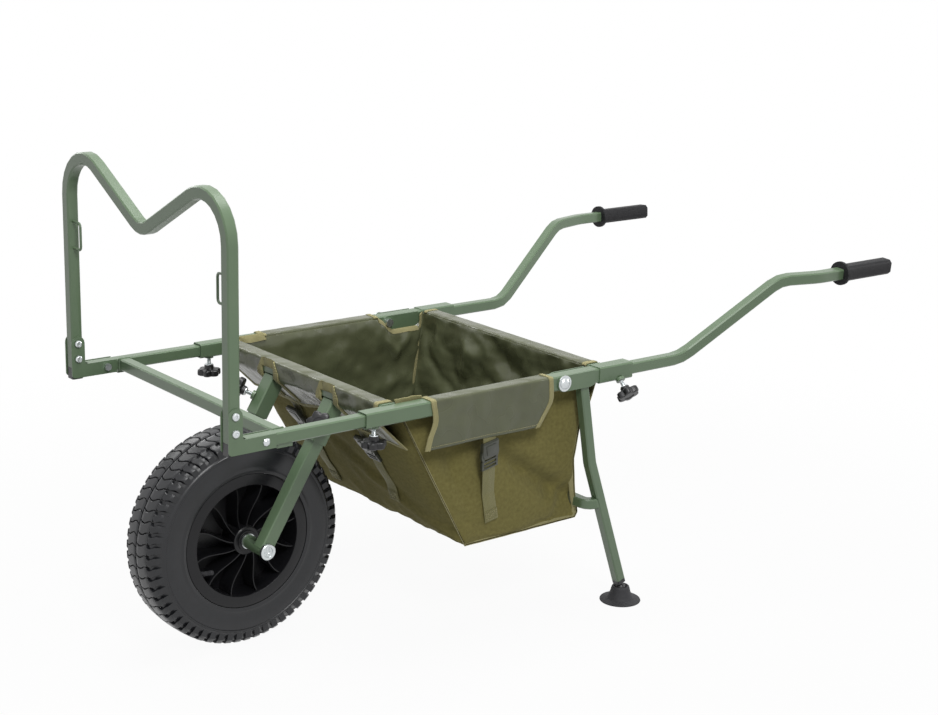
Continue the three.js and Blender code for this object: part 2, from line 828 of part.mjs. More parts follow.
function rim() {
  const ribs = Array.from({ length: rimRibs }, (unused, index) => rimRib(index));
  return joined(rimBody(), ...ribs);
}

addPiece('rim', rim(), blackPlastic);

// Tyre: a carcass with ribs round its middle, and a row of lugs over each shoulder.
function carcassProfile() {
  const half = tyreWidth / 2;
  const base = tyreRadius - treadDepth;
  const bead = rimWidth / 2 - rimWall;
  const treadHalf = treadWidth / 2;
  const section = tyreRadius - rimFlangeRadius;
  const seat = rimSeatRadius + seatGap;
  const oneSide = [
    [seat, bead - 2 * rimWall - 2 * seatGap],
    [rimSeatRadius + rimWall + seatGap, bead - rimWall - 2 * seatGap],
    [rimFlangeRadius + seatGap, bead - 2 * seatGap],
    [rimFlangeRadius + seatGap, bead + rimWall / 2],
    [rimFlangeRadius + section * carcassBulgeShare, half],
    [rimFlangeRadius + section * carcassShoulderShare, half * 0.97],
    [base - 2 * treadDepth, treadHalf],
    [base, treadHalf * (middleRibShare + grooveShare)],
    [tyreRadius, treadHalf * middleRibShare],
    [tyreRadius, treadHalf * grooveShare],
  ];
  const otherSide = oneSide.map(([radius, along]) => [radius, -along]).reverse();
  const groove = [[base, 0]];
  return [...oneSide, ...groove, ...otherSide, oneSide[0]];
}

// A lug's outline across the tyre, from beside the middle rib down over the shoulder.
function treadLug(side, index) {
  const treadHalf = treadWidth / 2;
  const base = tyreRadius - treadDepth;
  const lugTop = Math.sqrt(tyreRadius ** 2 - (treadLugLength / 2) ** 2);
  const inner = side * treadHalf * (middleRibShare + 2 * grooveShare);
  const outline = [
    [inner, base - 3 * treadDepth],
    [inner, lugTop],
    [side * treadHalf * lugCrownShare, lugTop - treadDepth / 2],
    [side * treadHalf * lugReachShare, base - 3 * treadDepth],
  ].map(([across, radius]) => new THREE.Vector2(across, radius));
  const options = { depth: treadLugLength, bevelEnabled: false };
  const lug = new THREE.ExtrudeGeometry(new THREE.Shape(outline), options);
  lug.translate(0, 0, -treadLugLength / 2).rotateX(Math.PI / 2).rotateZ(Math.PI / 2);
  return lug.rotateY((index + 1 / 2) * 2 * Math.PI / treadLugs).translate(0, 0, tyreRadius);
}

function tyre() {
  const lugs = Array.from({ length: 2 * treadLugs }, (unused, index) =>
    treadLug(index % 2 ? 1 : -1, Math.floor(index / 2)));
  const carcass = solid(aroundAxle(carcassProfile()));
  return geometryOf(wasm.Manifold.union([carcass, ...lugs.map(solid)]));
}

addPiece('tyre', tyre(), blackRubber);

// Rear leg frame: U brackets round the rails, bent legs, a crossbar and the pivot bolts.
const legTopX = pivotX + legTopSetback;
const legKneeX = pivotX + legKneeReach;
const footX = pivotX + legFootReach;
const legKneeZ = railHeight - legKneeDrop;
const bracketWebBottom = railBottom - seatGap - legBracketSheet;

function legPlace(side, share) {
  const knee = point(legKneeX, side * (railY + legKneeSplay), legKneeZ);
  const ball = point(footX, side * (railY + legFootSplay), ballHeight);
  return knee.lerp(ball, share);
}

function legDirection(side) {
  return legPlace(side, 1).sub(legPlace(side, 0)).normalize();
}

function legEnd(side) {
  return legPlace(side, 1).addScaledVector(legDirection(side), -legPlugDrop - legPlugHead);
}

function legBracketOutline() {
  const half = railTube / 2 + seatGap;
  const tail = pivotX + legBracketTail;
  const low = bracketWebBottom;
  const shape = new THREE.Shape();
  shape.moveTo(pivotX, low);
  shape.lineTo(legTopX + legTube / 2, low);
  shape.lineTo(tail, railBottom);
  shape.lineTo(tail, railHeight + half);
  shape.lineTo(pivotX, railHeight + half);
  shape.absarc(pivotX, (railHeight + half + low) / 2, (railHeight + half - low) / 2,
    Math.PI / 2, 1.5 * Math.PI, false);
  return shape;
}

// Each leg is welded under the web of a U bracket that straddles its rail.
function rearLeg(side) {
  const y = side * railY;
  const inner = railTube / 2 + seatGap;
  const outer = inner + legBracketSheet;
  const tail = pivotX + legBracketTail;
  const cheeks = [
    plate(legBracketOutline(), y - outer, y - inner, 6),
    plate(legBracketOutline(), y + inner, y + outer, 6),
  ];
  const web = box(tail - legBracketWebLength, legTopX + legTube / 2,
    y - outer + legBracketSheet / 2, y + outer - legBracketSheet / 2,
    bracketWebBottom, bracketWebBottom + legBracketSheet);
  const hole = rod(point(pivotX, y - railTube, railHeight), alongY, 2 * railTube,
    pivotBoltRadius + seatGap, 12);
  const corners = [point(legTopX, y, bracketWebBottom + legTube), legPlace(side, 0), legEnd(side)];
  const leg = squareTube(corners, [legBendRadius], legTube, legWall, alongY);
  const above = box(legTopX - 2 * legTube, legTopX + 2 * legTube, y - legTube, y + legTube,
    bracketWebBottom + legBracketSheet / 2, bracketWebBottom + 2 * legTube);
  return cut(joined(cheeks[0], cheeks[1], web, cut(leg, above)), hole);
}

function pivotBolt(side) {
  const outer = railTube / 2 + seatGap + legBracketSheet + weldGap;
  const seat = outer + pivotWasherThickness;
  const profile = [
    [0, -seat - pivotHeadHeight],
    [pivotHeadRadius * pivotDomeRadiusShare, -seat - pivotHeadHeight * pivotDomeHeightShare],
    [pivotHeadRadius, -seat - pivotHeadEdge],
    [pivotHeadRadius, -seat], [pivotWasherRadius, -seat], [pivotWasherRadius, -outer],
    [pivotBoltRadius, -outer], [pivotBoltRadius, outer], [pivotNutRadius, outer],
    [pivotNutRadius, outer + boltNutHeight], [0, outer + boltNutHeight],
  ];
  return turned(profile, 14, point(pivotX, side * railY, railHeight), point(0, -side, 0));
}

// Leg plugs: a cap under each leg with a ball stud below it.
function legPlug(side) {
  const down = legDirection(side);
  const end = legEnd(side).addScaledVector(down, seatGap);
  const ball = legPlace(side, 1);
  const head = squareBar([end, end.clone().addScaledVector(down, legPlugHead - seatGap)],
    legTube, alongY);
  const half = legTube - 2 * (legWall + seatGap);
  const spigot = swept(squareOutline(half, tubeCorner / 2), new BentRoute(
    [end.clone().addScaledVector(down, -legPlugSpigot), end.clone().addScaledVector(down, legWall)],
    []), alongY);
  const neck = rod(end, down, legPlugHead + legPlugDrop, ballNeckRadius, 12);
  const sphere = new THREE.SphereGeometry(ballRadius, 12, 8);
  return joined(head, spigot, neck, sphere.translate(ball.x, ball.y, ball.z));
}

for (const { side, name } of sides) {
  addPiece(`leg_${name}`, rearLeg(side), greenPaint);
}

// The brace joins the front faces of both legs, set forward of them.
const braceShare = (legKneeZ - railHeight + braceDrop) / (legKneeZ - ballHeight);
const legLean = Math.atan2(footX - legKneeX, legKneeZ - ballHeight);
const braceX = legPlace(1, braceShare).x - legTube / 2 / Math.cos(legLean) - braceReach;

function legBrace() {
  const place = legPlace(1, braceShare);
  const corners = [
    point(place.x, -place.y, place.z),
    point(braceX, -place.y, place.z),
    point(braceX, place.y, place.z),
    point(place.x, place.y, place.z),
  ];
  const brace = squareTube(corners, [braceBendRadius, braceBendRadius], legTube, legWall,
    upward, 30);
  const legTools = sides.map(({ side }) => {
    const rearward = legDirection(side).cross(alongY).multiplyScalar(-1);
    rearward.multiplyScalar(Math.sign(rearward.x));
    const ends = [legPlace(side, -braceShare), legPlace(side, 1)];
    const size = 3 * legTube;
    ends.forEach((end) => end.addScaledVector(rearward, (size - legTube) / 2 - weldGap));
    return squareBar(ends, size, alongY);
  });
  return cut(brace, ...legTools);
}

addPiece('leg_brace', legBrace(), greenPaint);
for (const { side, name } of sides) {
  addPiece(`leg_pivot_bolt_${name}`, pivotBolt(side), zinc);
  addPiece(`leg_plug_${name}`, legPlug(side), blackPlastic);
}

// Mud feet: a wide disc with a cup that holds the ball.
function foot(side) {
  const centre = legPlace(side, 1);
  const facetAngle = Math.PI / 12;
  const socket = (ballRadius + seatGap) / Math.cos(facetAngle) ** 2;
  const cupTop = ballHeight + cupRise;
  const bowl = cupBowlDegrees.map((degrees) => {
    const angle = THREE.MathUtils.degToRad(degrees);
    return [socket * Math.cos(angle), ballHeight - socket * Math.sin(angle)];
  });
  const profile = [
    [0, 0], [footRadius, 0], [footRadius, footThickness * footRimShare],
    [footRadius - footThickness, footThickness], [cupBaseRadius, footThickness + cupBaseRise],
    [cupTopRadius, cupTop], [bowl.at(-1)[0] + cupLip, cupTop], ...bowl.reverse(),
  ];
  return turned(profile, 20, point(centre.x, centre.y, 0), upward);
}

for (const { side, name } of sides) {
  addPiece(`foot_${name}`, foot(side), blackRubber);
}

// Handles: each slides in a rail, rises outwards and runs level to its grip.
const handleInnerX = railRearX - handleInsertion;
const handleLowX = railRearX + handleLowRun;
const handleHighX = handleLowX + handleRiseRun;
const handleLevelX = handleHighX + handleLevelRun;
const handleY = railY + handleSplay;
const handleZ = railHeight + handleRise;
const gripStartX = railRearX + gripStart;
const gripEndX = gripStartX + gripLength;

function handleCorners(side) {
  return [
    point(handleInnerX, side * railY, railHeight),
    point(handleLowX, side * railY, railHeight),
    point(handleHighX, side * (railY + handleRiseSplay), handleZ),
    point(handleLevelX, side * handleY, handleZ),
    point(gripEndX - gripEndWall - seatGap, side * handleY, handleZ),
  ];
}

const handleBends = [handleBendRadius, handleBendRadius, handleLevelBendRadius];

// The tube turns slightly about its own length as it bends, and the grip follows it.
function carriedUpward(side) {
  const route = new BentRoute(handleCorners(side), handleBends);
  const { normals, binormals } = route.computeFrenetFrames(route.steps, false);
  return normals.at(-1).clone().multiplyScalar(upward.dot(normals[0]))
    .addScaledVector(binormals.at(-1), upward.dot(binormals[0]));
}

function grip(side) {
  const y = side * handleY;
  const gripUp = carriedUpward(side);
  const body = swept(squareOutline(gripSize, gripCorner),
    new BentRoute(alongX(gripStartX, gripEndX, y, handleZ), []), gripUp);
  const flange = rod(point(gripStartX, y, handleZ), point(1, 0, 0), gripFlangeThickness,
    gripFlangeRadius, 24);
  const bore = squareBar(alongX(gripStartX - cutOverrun, gripEndX - gripEndWall, y, handleZ),
    slideTube + 2 * seatGap, gripUp);
  return cut(joined(body, flange), bore);
}

for (const { side, name } of sides) {
  addPiece(`handle_${name}`,
    squareTube(handleCorners(side), handleBends, slideTube, slideWall), greenPaint);
  addPiece(`grip_${name}`, grip(side), blackRubber);
}

// Clamp knobs: a lobed head with a hub on the stud's side.
function knobHead(seat, axis) {
  const steps = knobLobes * 5;
  const outline = Array.from({ length: steps }, (unused, i) => {
    const angle = 2 * Math.PI * i / steps;
    const radius = knobRadius - knobLobeDepth * (1 - Math.cos(knobLobes * angle)) / 2;
    return new THREE.Vector2(radius * Math.cos(angle), radius * Math.sin(angle));
  });
  const options = { depth: knobThickness, bevelEnabled: false };
  const head = new THREE.ExtrudeGeometry(new THREE.Shape(outline), options)
    .rotateX(-Math.PI / 2).translate(0, knobHubLength, 0);
  const hub = rod(point(0, 0, 0), alongY, knobHubLength + knobThickness / 2, knobHubRadius, 12);
  return aimed(joined(head, hub), seat.clone().addScaledVector(axis, studLength), axis);
}

// Each knob is moulded round the end of its threaded stud.
function addClamp(name, seat, axis, reach) {
  const stud = rod(seat.clone().addScaledVector(axis, -reach), axis,
    reach + studLength + knobHubLength, studRadius, 10);
  addPiece(`knob_${name}`, joined(knobHead(seat, axis), stud), blackPlastic);
}

// How far a stud reaches in from its boss face to the tube that it clamps.
const railTubeGap = (railTube - 2 * railWall - slideTube) / 2;
const frontStudReach = bossHeight + railWall + railTubeGap - seatGap;

for (const { side, name } of sides) {
  addClamp(`front_${name}`, point(frontClampX, side * railY, railBottom - bossHeight),
    point(0, 0, -1), frontStudReach);
}

// Depth from a corner boss's face to the clamped tube's own corner, along the diagonal.
function cornerReach(cornerPlace, axis, tubeCentre, tubeSize) {
  const toCentre = cornerPlace.clone().sub(tubeCentre).dot(axis);
  const tubeDiagonal = (tubeSize - tubeCorner) / Math.SQRT2;
  return toCentre - tubeDiagonal + bossHeight - seatGap;
}

for (const { side, name } of sides) {
  const axis = forkClampAxis(side);
  const corner = forkClampCorner(side);
  const centre = onFork(forkClampAlong, side * forkHalfSpacing);
  addClamp(`fork_${name}`, corner.clone().addScaledVector(axis, bossHeight), axis,
    cornerReach(corner, axis, centre, forkTube));
}

for (const { side, name } of sides) {
  const axis = rearClampAxis(side);
  const corner = rearClampCorner(side);
  const centre = point(rearClampX, side * railY, railHeight);
  addClamp(`rear_${name}`, corner.clone().addScaledVector(axis, bossHeight), axis,
    cornerReach(corner, axis, centre, slideTube));
}

// Bag tub: a side outline given width, hollowed from above, with its rear top corners cut away.
const flapInner = railY - railTube / 2 - seatGap;
const flapOuter = railY + railTube / 2 + seatGap;
const flapTopZ = railTop + seatGap;
const bagHalfWidth = flapInner - flapSheet - weldGap;
const bagTopZ = railTop - railWall;
const bagBottomZ = railHeight - bagDrop;
const bagFrontX = crossbarX + railTube / 2 + seatGap + flapSheet + weldGap;
const bagRearX = rearCrossbarX - railTube / 2 - seatGap - flapSheet - weldGap;
const bagBottomFront = crossbarX + bagBottomSetback;
const bagFootX = braceX - legTube / 2 - bagBraceGap;
const sideFlapFront = crossbarX + sideFlapSetback;
const sideFlapRear = pivotX - flapPivotSetback;
const sideStrapX = (sideFlapFront + sideFlapRear) / 2 - sideStrapSetback;

// The side outline, drawn in from each wall by an inset; the inner one runs on past the top.
function bagOutline(inset) {
  const top = bagTopZ + (inset > 0 ? cutOverrun : 0);
  const shape = new THREE.Shape();
  shape.moveTo(bagBottomFront + inset, bagBottomZ + inset);
  shape.lineTo(bagRearX - bagToe - bagCorner - inset, bagBottomZ + inset);
  shape.lineTo(bagRearX - bagToe - inset, bagBottomZ + bagCorner);
  shape.lineTo(bagRearX - bagToe - inset, bagBottomZ + bagToeRise);
  shape.lineTo(bagFootX - inset, bagBottomZ + bagToeRise + bagCorner);
  shape.lineTo(bagFootX - inset, bagBottomZ + bagFootRise);
  shape.lineTo(bagRearX - bagRearWaist - inset, railHeight - bagWaistDrop);
  shape.lineTo(bagRearX - inset, railBottom);
  shape.lineTo(bagRearX - inset, top);
  shape.lineTo(bagFrontX + inset, top);
  shape.lineTo(bagFrontX + inset, bagTopZ);
  return shape;
}

function bagSideInset(z) {
  return bagBottomInset * Math.max(0, (bagTopZ - z) / (bagTopZ - bagBottomZ));
}

// The tub narrows a little towards its bottom.
function tapered(geometry, halfWidth) {
  const position = geometry.attributes.position;
  for (let i = 0; i < position.count; i += 1) {
    const inset = bagSideInset(position.getZ(i));
    position.setY(i, position.getY(i) * (halfWidth - inset) / halfWidth);
  }
  return geometry;
}

function bagTub() {
  const outer = tapered(plate(bagOutline(0), -bagHalfWidth, bagHalfWidth), bagHalfWidth);
  const innerHalf = bagHalfWidth - bagWall;
  const inner = tapered(plate(bagOutline(bagWall), -innerHalf, innerHalf), innerHalf);
  const corners = sides.map(({ side }) => sideBox(side, bagRearX - bagCornerCutLength,
    bagRearX - bagWall * 2, bagHalfWidth - bagWall * 3, bagHalfWidth + cutOverrun,
    railTop - bagCornerCutDepth, railTop + cutOverrun));
  return cut(outer, inner, ...corners);
}

addPiece('bag_tub', bagTub(), khakiCloth);

// Side flaps: from inside the rail, over its top and down its outer face, with curved ends.
function sideFlapOutline() {
  const hem = railHeight - sideFlapDrop;
  const waist = railHeight - railTube;
  const front = sideFlapFront - sideFlapFlare;
  const rear = sideFlapRear - sideFlapTuck;
  const shape = new THREE.Shape();
  shape.moveTo(front, hem);
  shape.lineTo(rear, hem);
  shape.quadraticCurveTo((rear + sideFlapRear) / 2, waist, sideFlapRear, waist + flapSheet);
  shape.lineTo(sideFlapRear, flapTopZ + flapSheet);
  shape.lineTo(sideFlapFront, flapTopZ + flapSheet);
  shape.quadraticCurveTo(sideFlapFront + sideFlapFlare, waist, front, hem);
  return shape;
}

function sideFlap(side) {
  const near = side * flapOuter;
  const far = side * (flapOuter + flapSheet);
  const skirt = plate(sideFlapOutline(), Math.min(near, far), Math.max(near, far), 4);
  const over = sideBox(side, sideFlapFront, sideFlapRear, flapInner - flapSheet,
    flapOuter + flapSheet, flapTopZ, flapTopZ + flapSheet);
  const lining = sideBox(side, sideFlapFront, sideFlapRear, flapInner - flapSheet, flapInner,
    railBottom, flapTopZ + flapSheet);
  return joined(skirt, over, lining);
}

for (const { side, name } of sides) {
  addPiece(`bag_flap_${name}`, sideFlap(side), coatedCloth);
}

// A strip of sheet seen edge-on: a broken line given thickness evenly on both sides.
function strip(line, thickness) {
  const half = thickness / 2;
  const offsetLine = (sign) => line.map((place, i) => {
    const before = line[Math.max(0, i - 1)];
    const after = line[Math.min(line.length - 1, i + 1)];
    const arriving = (i > 0 ? place.clone().sub(before) : after.clone().sub(place)).normalize();
    const leaving = (after !== place ? after.clone().sub(place) : arriving.clone()).normalize();
    const mitre = arriving.clone().add(leaving).normalize();
    const reach = half / mitre.dot(arriving);
    return new THREE.Vector2(place.x - sign * mitre.y * reach, place.y + sign * mitre.x * reach);
  });
  return new THREE.Shape([...offsetLine(-1), ...offsetLine(1).reverse()]);
}

function at(x, z) {
  return new THREE.Vector2(x, z);
}

// End flaps: round a cross member, then drawn in under it towards the bag by their straps.
function endFlap(barX, outward, hemX, hemZ, halfWidth) {
  const half = railTube / 2 + seatGap + flapSheet / 2;
  const line = [
    at(barX - outward * half, railBottom),
    at(barX - outward * half, flapTopZ + flapSheet / 2),
    at(barX + outward * half, flapTopZ + flapSheet / 2),
    at(barX + outward * half, railBottom - flapSheet),
    at(hemX, hemZ),
  ];
  return plate(strip(line, flapSheet), -halfWidth, halfWidth);
}

const frontHemX = crossbarX + frontHemReach;
const frontHemZ = railHeight - frontHemDrop;
const rearHemX = rearCrossbarX - rearHemReach;
const rearHemZ = railHeight - rearHemDrop;

// The front flap has a window round each fork socket, from near its top fold to above its hem.
function frontFlap() {
  const flap = endFlap(crossbarX, -1, frontHemX, frontHemZ, crossbarHalfLength - flapEndGap);
  const liningX = crossbarX + railTube / 2;
  const windows = sides.flatMap(({ side }) => {
    const near = forkHalfSpacing - frontWindowWidth / 2;
    const far = forkHalfSpacing + frontWindowWidth / 2;
    return [
      sideBox(side, crossbarX - railTube, liningX, near, far, frontHemZ, railTop - frontWindowTop),
      sideBox(side, crossbarX - railTube, crossbarX + frontWindowReach, near, far,
        frontHemZ, railBottom - weldGap),
    ];
  });
  return cut(flap, ...windows);
}

addPiece('bag_flap_front', frontFlap(), coatedCloth);
addPiece('bag_flap_rear', endFlap(rearCrossbarX, 1, rearHemX, rearHemZ,
  rearCrossbarHalfLength - flapEndGap), coatedCloth);

// Straps: webbing from a flap's hem down to the bag's wall, broken by a buckle on its free run.
const strapHalf = strapSheet / 2 + weldGap;

// Where the bag's sloping front wall is at a given height.
function frontWallX(z) {
  const share = (bagTopZ - z) / (bagTopZ - bagBottomZ);
  return bagFrontX + (bagBottomFront - bagFrontX) * share;
}

function rearWallX(z) {
  const share = (railBottom - z) / (railBottom - railHeight + bagWaistDrop);
  return bagRearX - bagRearWaist * share;
}

function besideWall(wallX, z, outward) {
  const slope = (wallX(z + strapWidth) - wallX(z)) / strapWidth;
  return at(wallX(z) + outward * strapHalf * Math.hypot(1, slope), z);
}

// The strap's four places: under the hem, leaving the hem, meeting the wall, and its end.
function endStrapLine(hemX, hemZ, outward, wallX, meetDrop, endDrop) {
  const barX = outward < 0 ? crossbarX : rearCrossbarX;
  const hem = at(hemX, hemZ);
  const foldUnderBar = at(barX + outward * railTube / 2, railBottom - flapSheet);
  const along = hem.clone().sub(foldUnderBar).normalize();
  const inward = at(-along.y, along.x).multiplyScalar(-outward);
  const lifted = hem.clone().addScaledVector(inward, flapSheet / 2 + strapHalf);
  return [
    lifted.clone().addScaledVector(along, -strapWidth),
    lifted.clone().addScaledVector(along, strapSheet),
    besideWall(wallX, railHeight - meetDrop, outward),
    besideWall(wallX, railHeight - endDrop, outward),
  ];
}

function sideStrapLine() {
  const hemZ = railHeight - sideFlapDrop;
  const sideWallY = (z) => bagHalfWidth - bagSideInset(z) + strapHalf;
  const meetZ = railHeight - sideStrapMeetDrop;
  const endZ = railHeight - sideStrapEndDrop;
  return [
    at(flapOuter - strapHalf, hemZ + strapWidth),
    at(flapOuter - strapHalf, hemZ - strapSheet),
    at(sideWallY(meetZ), meetZ),
    at(sideWallY(endZ), endZ),
  ];
}

// The straight run of a strap's line that its buckle covers, from a share to a share of it.
function buckleRun(line, fromShare, toShare, overrun = 0) {
  const [, hem, meet] = line;
  const along = meet.clone().sub(hem).normalize();
  return [
    hem.clone().addScaledVector(along, buckleSetback + buckleLength * fromShare - overrun),
    hem.clone().addScaledVector(along, buckleSetback + buckleLength * toShare + overrun),
  ];
}

// An edge-on shape drawn in Y and Z, given width along X.
function crosswise(shape, minX, maxX) {
  const options = { depth: maxX - minX, bevelEnabled: false };
  const geometry = new THREE.ExtrudeGeometry(shape, options);
  return geometry.rotateX(Math.PI / 2).rotateZ(Math.PI / 2).translate(minX, 0, 0);
}

function mirroredLine(line, side) {
  return line.map((place) => at(side * place.x, place.y));
}

function sideWebbing(side, line, thickness, width) {
  const slant = new THREE.Matrix4().makeShear(0, 0, 0, 0, -sideStrapSlantShare, 0);
  const hemZ = railHeight - sideFlapDrop;
  return crosswise(strip(mirroredLine(line, side), thickness),
    sideStrapX - width / 2, sideStrapX + width / 2)
    .translate(0, 0, -hemZ).applyMatrix4(slant).translate(0, 0, hemZ);
}

function endWebbing(side, line, thickness, width, spacing = endStrapSpacing) {
  const middle = side * spacing / 2;
  return plate(strip(line, thickness), middle - width / 2, middle + width / 2);
}

// A side-release buckle: a broad housing and a narrower plug, with a slot for the webbing.
function buckle(side, line, webbingMaker) {
  const plugWidth = buckleWidth - buckleThickness / 2;
  const plug = webbingMaker(side, buckleRun(line, 0, 1 / 2), buckleThickness * plugShare, plugWidth);
  const housing = webbingMaker(side, buckleRun(line, buckleSplitShare, 1), buckleThickness,
    buckleWidth);
  const slot = webbingMaker(side, buckleRun(line, 0, 1, cutOverrun), strapSheet + 2 * seatGap,
    strapWidth + 2 * seatGap);
  return cut(joined(plug, housing), slot);
}

const sideLine = sideStrapLine();
const frontLine = endStrapLine(frontHemX, frontHemZ, -1, frontWallX,
  frontStrapMeetDrop, frontStrapEndDrop);
const rearLine = endStrapLine(rearHemX, rearHemZ, 1, rearWallX,
  rearStrapMeetDrop, rearStrapEndDrop);

for (const { side, name } of sides) {
  addPiece(`strap_side_${name}`, sideWebbing(side, sideLine, strapSheet, strapWidth), webbing);
  addPiece(`buckle_side_${name}`, buckle(side, sideLine, sideWebbing), blackPlastic);
  addPiece(`strap_front_${name}`, endWebbing(side, frontLine, strapSheet, strapWidth), webbing);
  addPiece(`buckle_front_${name}`, buckle(side, frontLine, endWebbing), blackPlastic);
  addPiece(`strap_rear_${name}`, endWebbing(side, rearLine, strapSheet, strapWidth,
    rearStrapSpacing), webbing);
}

// The origin goes under the middle of the whole trolley.
const frontmost = Math.min(postX - slideTube / 2 - bracketSheet, -tyreRadius);
trolley.position.x = -(frontmost + gripEndX) / 2;
trolley.updateMatrixWorld(true);

export default trolley;
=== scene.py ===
import math
import json

import bmesh
import bpy
import numpy as np
from mathutils import Matrix, Vector, noise
from mathutils.bvhtree import BVHTree

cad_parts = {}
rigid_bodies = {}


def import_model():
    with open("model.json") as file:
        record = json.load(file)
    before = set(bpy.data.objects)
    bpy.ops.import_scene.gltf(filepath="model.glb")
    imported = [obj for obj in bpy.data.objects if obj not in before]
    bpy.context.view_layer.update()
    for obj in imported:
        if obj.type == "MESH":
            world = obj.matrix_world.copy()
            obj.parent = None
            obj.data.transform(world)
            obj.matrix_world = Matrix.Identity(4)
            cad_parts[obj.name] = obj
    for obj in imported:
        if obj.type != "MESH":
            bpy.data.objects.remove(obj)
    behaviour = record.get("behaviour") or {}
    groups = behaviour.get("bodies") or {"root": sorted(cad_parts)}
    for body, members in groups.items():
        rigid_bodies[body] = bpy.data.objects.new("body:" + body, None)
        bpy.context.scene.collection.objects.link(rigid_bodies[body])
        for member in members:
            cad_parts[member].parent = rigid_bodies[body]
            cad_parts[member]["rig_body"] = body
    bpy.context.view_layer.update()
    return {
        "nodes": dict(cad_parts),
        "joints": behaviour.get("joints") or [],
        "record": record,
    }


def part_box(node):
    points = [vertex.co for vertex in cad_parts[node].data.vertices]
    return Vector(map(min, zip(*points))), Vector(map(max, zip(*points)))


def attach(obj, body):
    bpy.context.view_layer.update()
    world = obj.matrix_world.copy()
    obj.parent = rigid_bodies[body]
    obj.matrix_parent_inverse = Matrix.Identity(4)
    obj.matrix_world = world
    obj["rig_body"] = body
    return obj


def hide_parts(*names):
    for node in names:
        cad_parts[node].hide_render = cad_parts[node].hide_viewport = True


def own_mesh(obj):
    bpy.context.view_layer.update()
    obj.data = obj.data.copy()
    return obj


bl_info = {
    "name": "Fishing trolley finish",
    "version": (1, 0, 0),
    "blender": (4, 5, 0),
    "location": "View3D > Sidebar > Trolley",
    "description": "Finishes a wheelbarrow-style fishing trolley over its packed solids",
    "category": "Object",
}

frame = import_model()

MM = 0.001
wheel_low, wheel_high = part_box("tyre")
WHEEL = (wheel_low + wheel_high) / 2
TYRE_RADIUS = (wheel_high.z - wheel_low.z) / 2 / MM
SLOTS = {entry["node"]: entry["material_slot"] for entry in frame["record"]["subparts"]}

# Lengths below are in millimetres, x measured back from the axle. The first places are the tubes' middles.
RAIL_Y = 281.0
RAIL_Z = 479.5
RAIL_TUBE = 28.0
SLIDE_TUBE = 22.0
CROSSBAR_X = 154.0
REAR_CROSSBAR_X = 645.0
FORK_SPACING = 100.0
# How far the cloth lies off a tube and off the tube's middle, and how far out of its rim a flap starts.
CLOTH_LIFT = 1.3
WRAP_LIFT = RAIL_TUBE / 2 + CLOTH_LIFT
TUCK = 0.4
# The bag's edges and the heights that its net keeps. A hem is (x, z).
BAG_HALF = 264.5
WRAP_HALF = 256.8
BAG_TOP = 491.5
BAG_BOTTOM = 186.0
BAG_FRONT = 170.5
BAG_TOE = 345.0
BAG_REAR = 628.5
REAR_CORNER = 618.0
TUB_HEIGHTS = (BAG_TOP, 465.5, 309.5, 236.0, 207.0, 198.0, 195.0, BAG_BOTTOM)
FLAP_FRONT = 229.0
FLAP_REAR = 512.0
FLAP_HEM = 403.5
FRONT_HEM = (206.0, 397.5)
REAR_HEM = (639.0, FLAP_HEM)
# The side walls fold out past this plane by the rest of the room beside the legs, more softly the further.
WALL_PLANE = 254.0
WALL_ROOM = 8.8
WALL_EASE = 14.0
# The cut in the side walls behind the flaps, and the front flap's windows for the fork sockets.
SCOOP_RUN = 34.0
SCOOP_DEPTH = 29.0
WINDOW_HALF = 21.0
WINDOW_TOP = RAIL_Z + RAIL_TUBE / 2 - 3.0
# Width and thickness of the webbing and of its folded end, and length, width and thickness of a buckle.
WEBBING = (30.0, 1.8)
WEBBING_END = (31.0, 1.6)
WEBBING_FOLD = 22.0
BOX_STITCH = (24.0, 15.0)
BUCKLE = (58.0, 41.0, 11.0)
# How far down its strap a buckle sits, and how far a strap's line lies off a wall.
BUCKLE_DROP = 38.0
STRAP_LIFT = 1.5
# The side strap's (half width, z) at its start, the hem, the wall and its end, and how it leans back.
SIDE_STRAP = ((294.0, 428.0), (293.4, 401.5), (258.8, 263.5), (257.2, 225.5))
SIDE_STRAP_X = 366.0
SIDE_STRAP_LEAN = 0.2
# The front strap's (x, z) at its start and the hem, and its heights at the wall and its end by side.
FRONT_STRAP_Y = 115.0
FRONT_STRAP = ((189.0, 413.0), (207.0, 396.0))
FRONT_STRAP_HEIGHTS = {-1: (314.5, 255.5), 1: (307.5, 224.5)}
# The rear strap's (x, z) at its start and the hem, and its heights at the wall and its end.
REAR_STRAP_Y = 210.0
REAR_STRAP = ((640.0, 428.0), (638.0, 402.0))
REAR_STRAP_HEIGHTS = (321.5, 311.5)


def at(x, y, z):
    """A place in the row frame, in metres, from millimetres behind the axle."""
    return Vector((WHEEL.x + x * MM, y * MM, z * MM))


def linear(code):
    """An sRGB hex colour, or a colour property that is linear already, as linear RGBA."""
    if not isinstance(code, str):
        return tuple(code) + (1.0,)
    parts = [int(code[i:i + 2], 16) / 255 for i in (1, 3, 5)]
    return tuple(p / 12.92 if p <= 0.04045 else ((p + 0.055) / 1.055) ** 2.4 for p in parts) + (1.0,)


def add(tree, kind, settings=None, **inputs):
    """Adds a node: settings are its attributes, inputs its values or the sockets linked to them."""
    made = tree.nodes.new(kind)
    for name, value in (settings or {}).items():
        setattr(made, name, value)
    for name, value in inputs.items():
        place = int(name[1:]) if name[1:].isdigit() and name[0] == "i" else name.replace("_", " ")
        socket = made.inputs[place]
        if isinstance(value, bpy.types.NodeSocket):
            tree.links.new(value, socket)
        else:
            socket.default_value = value
    return made


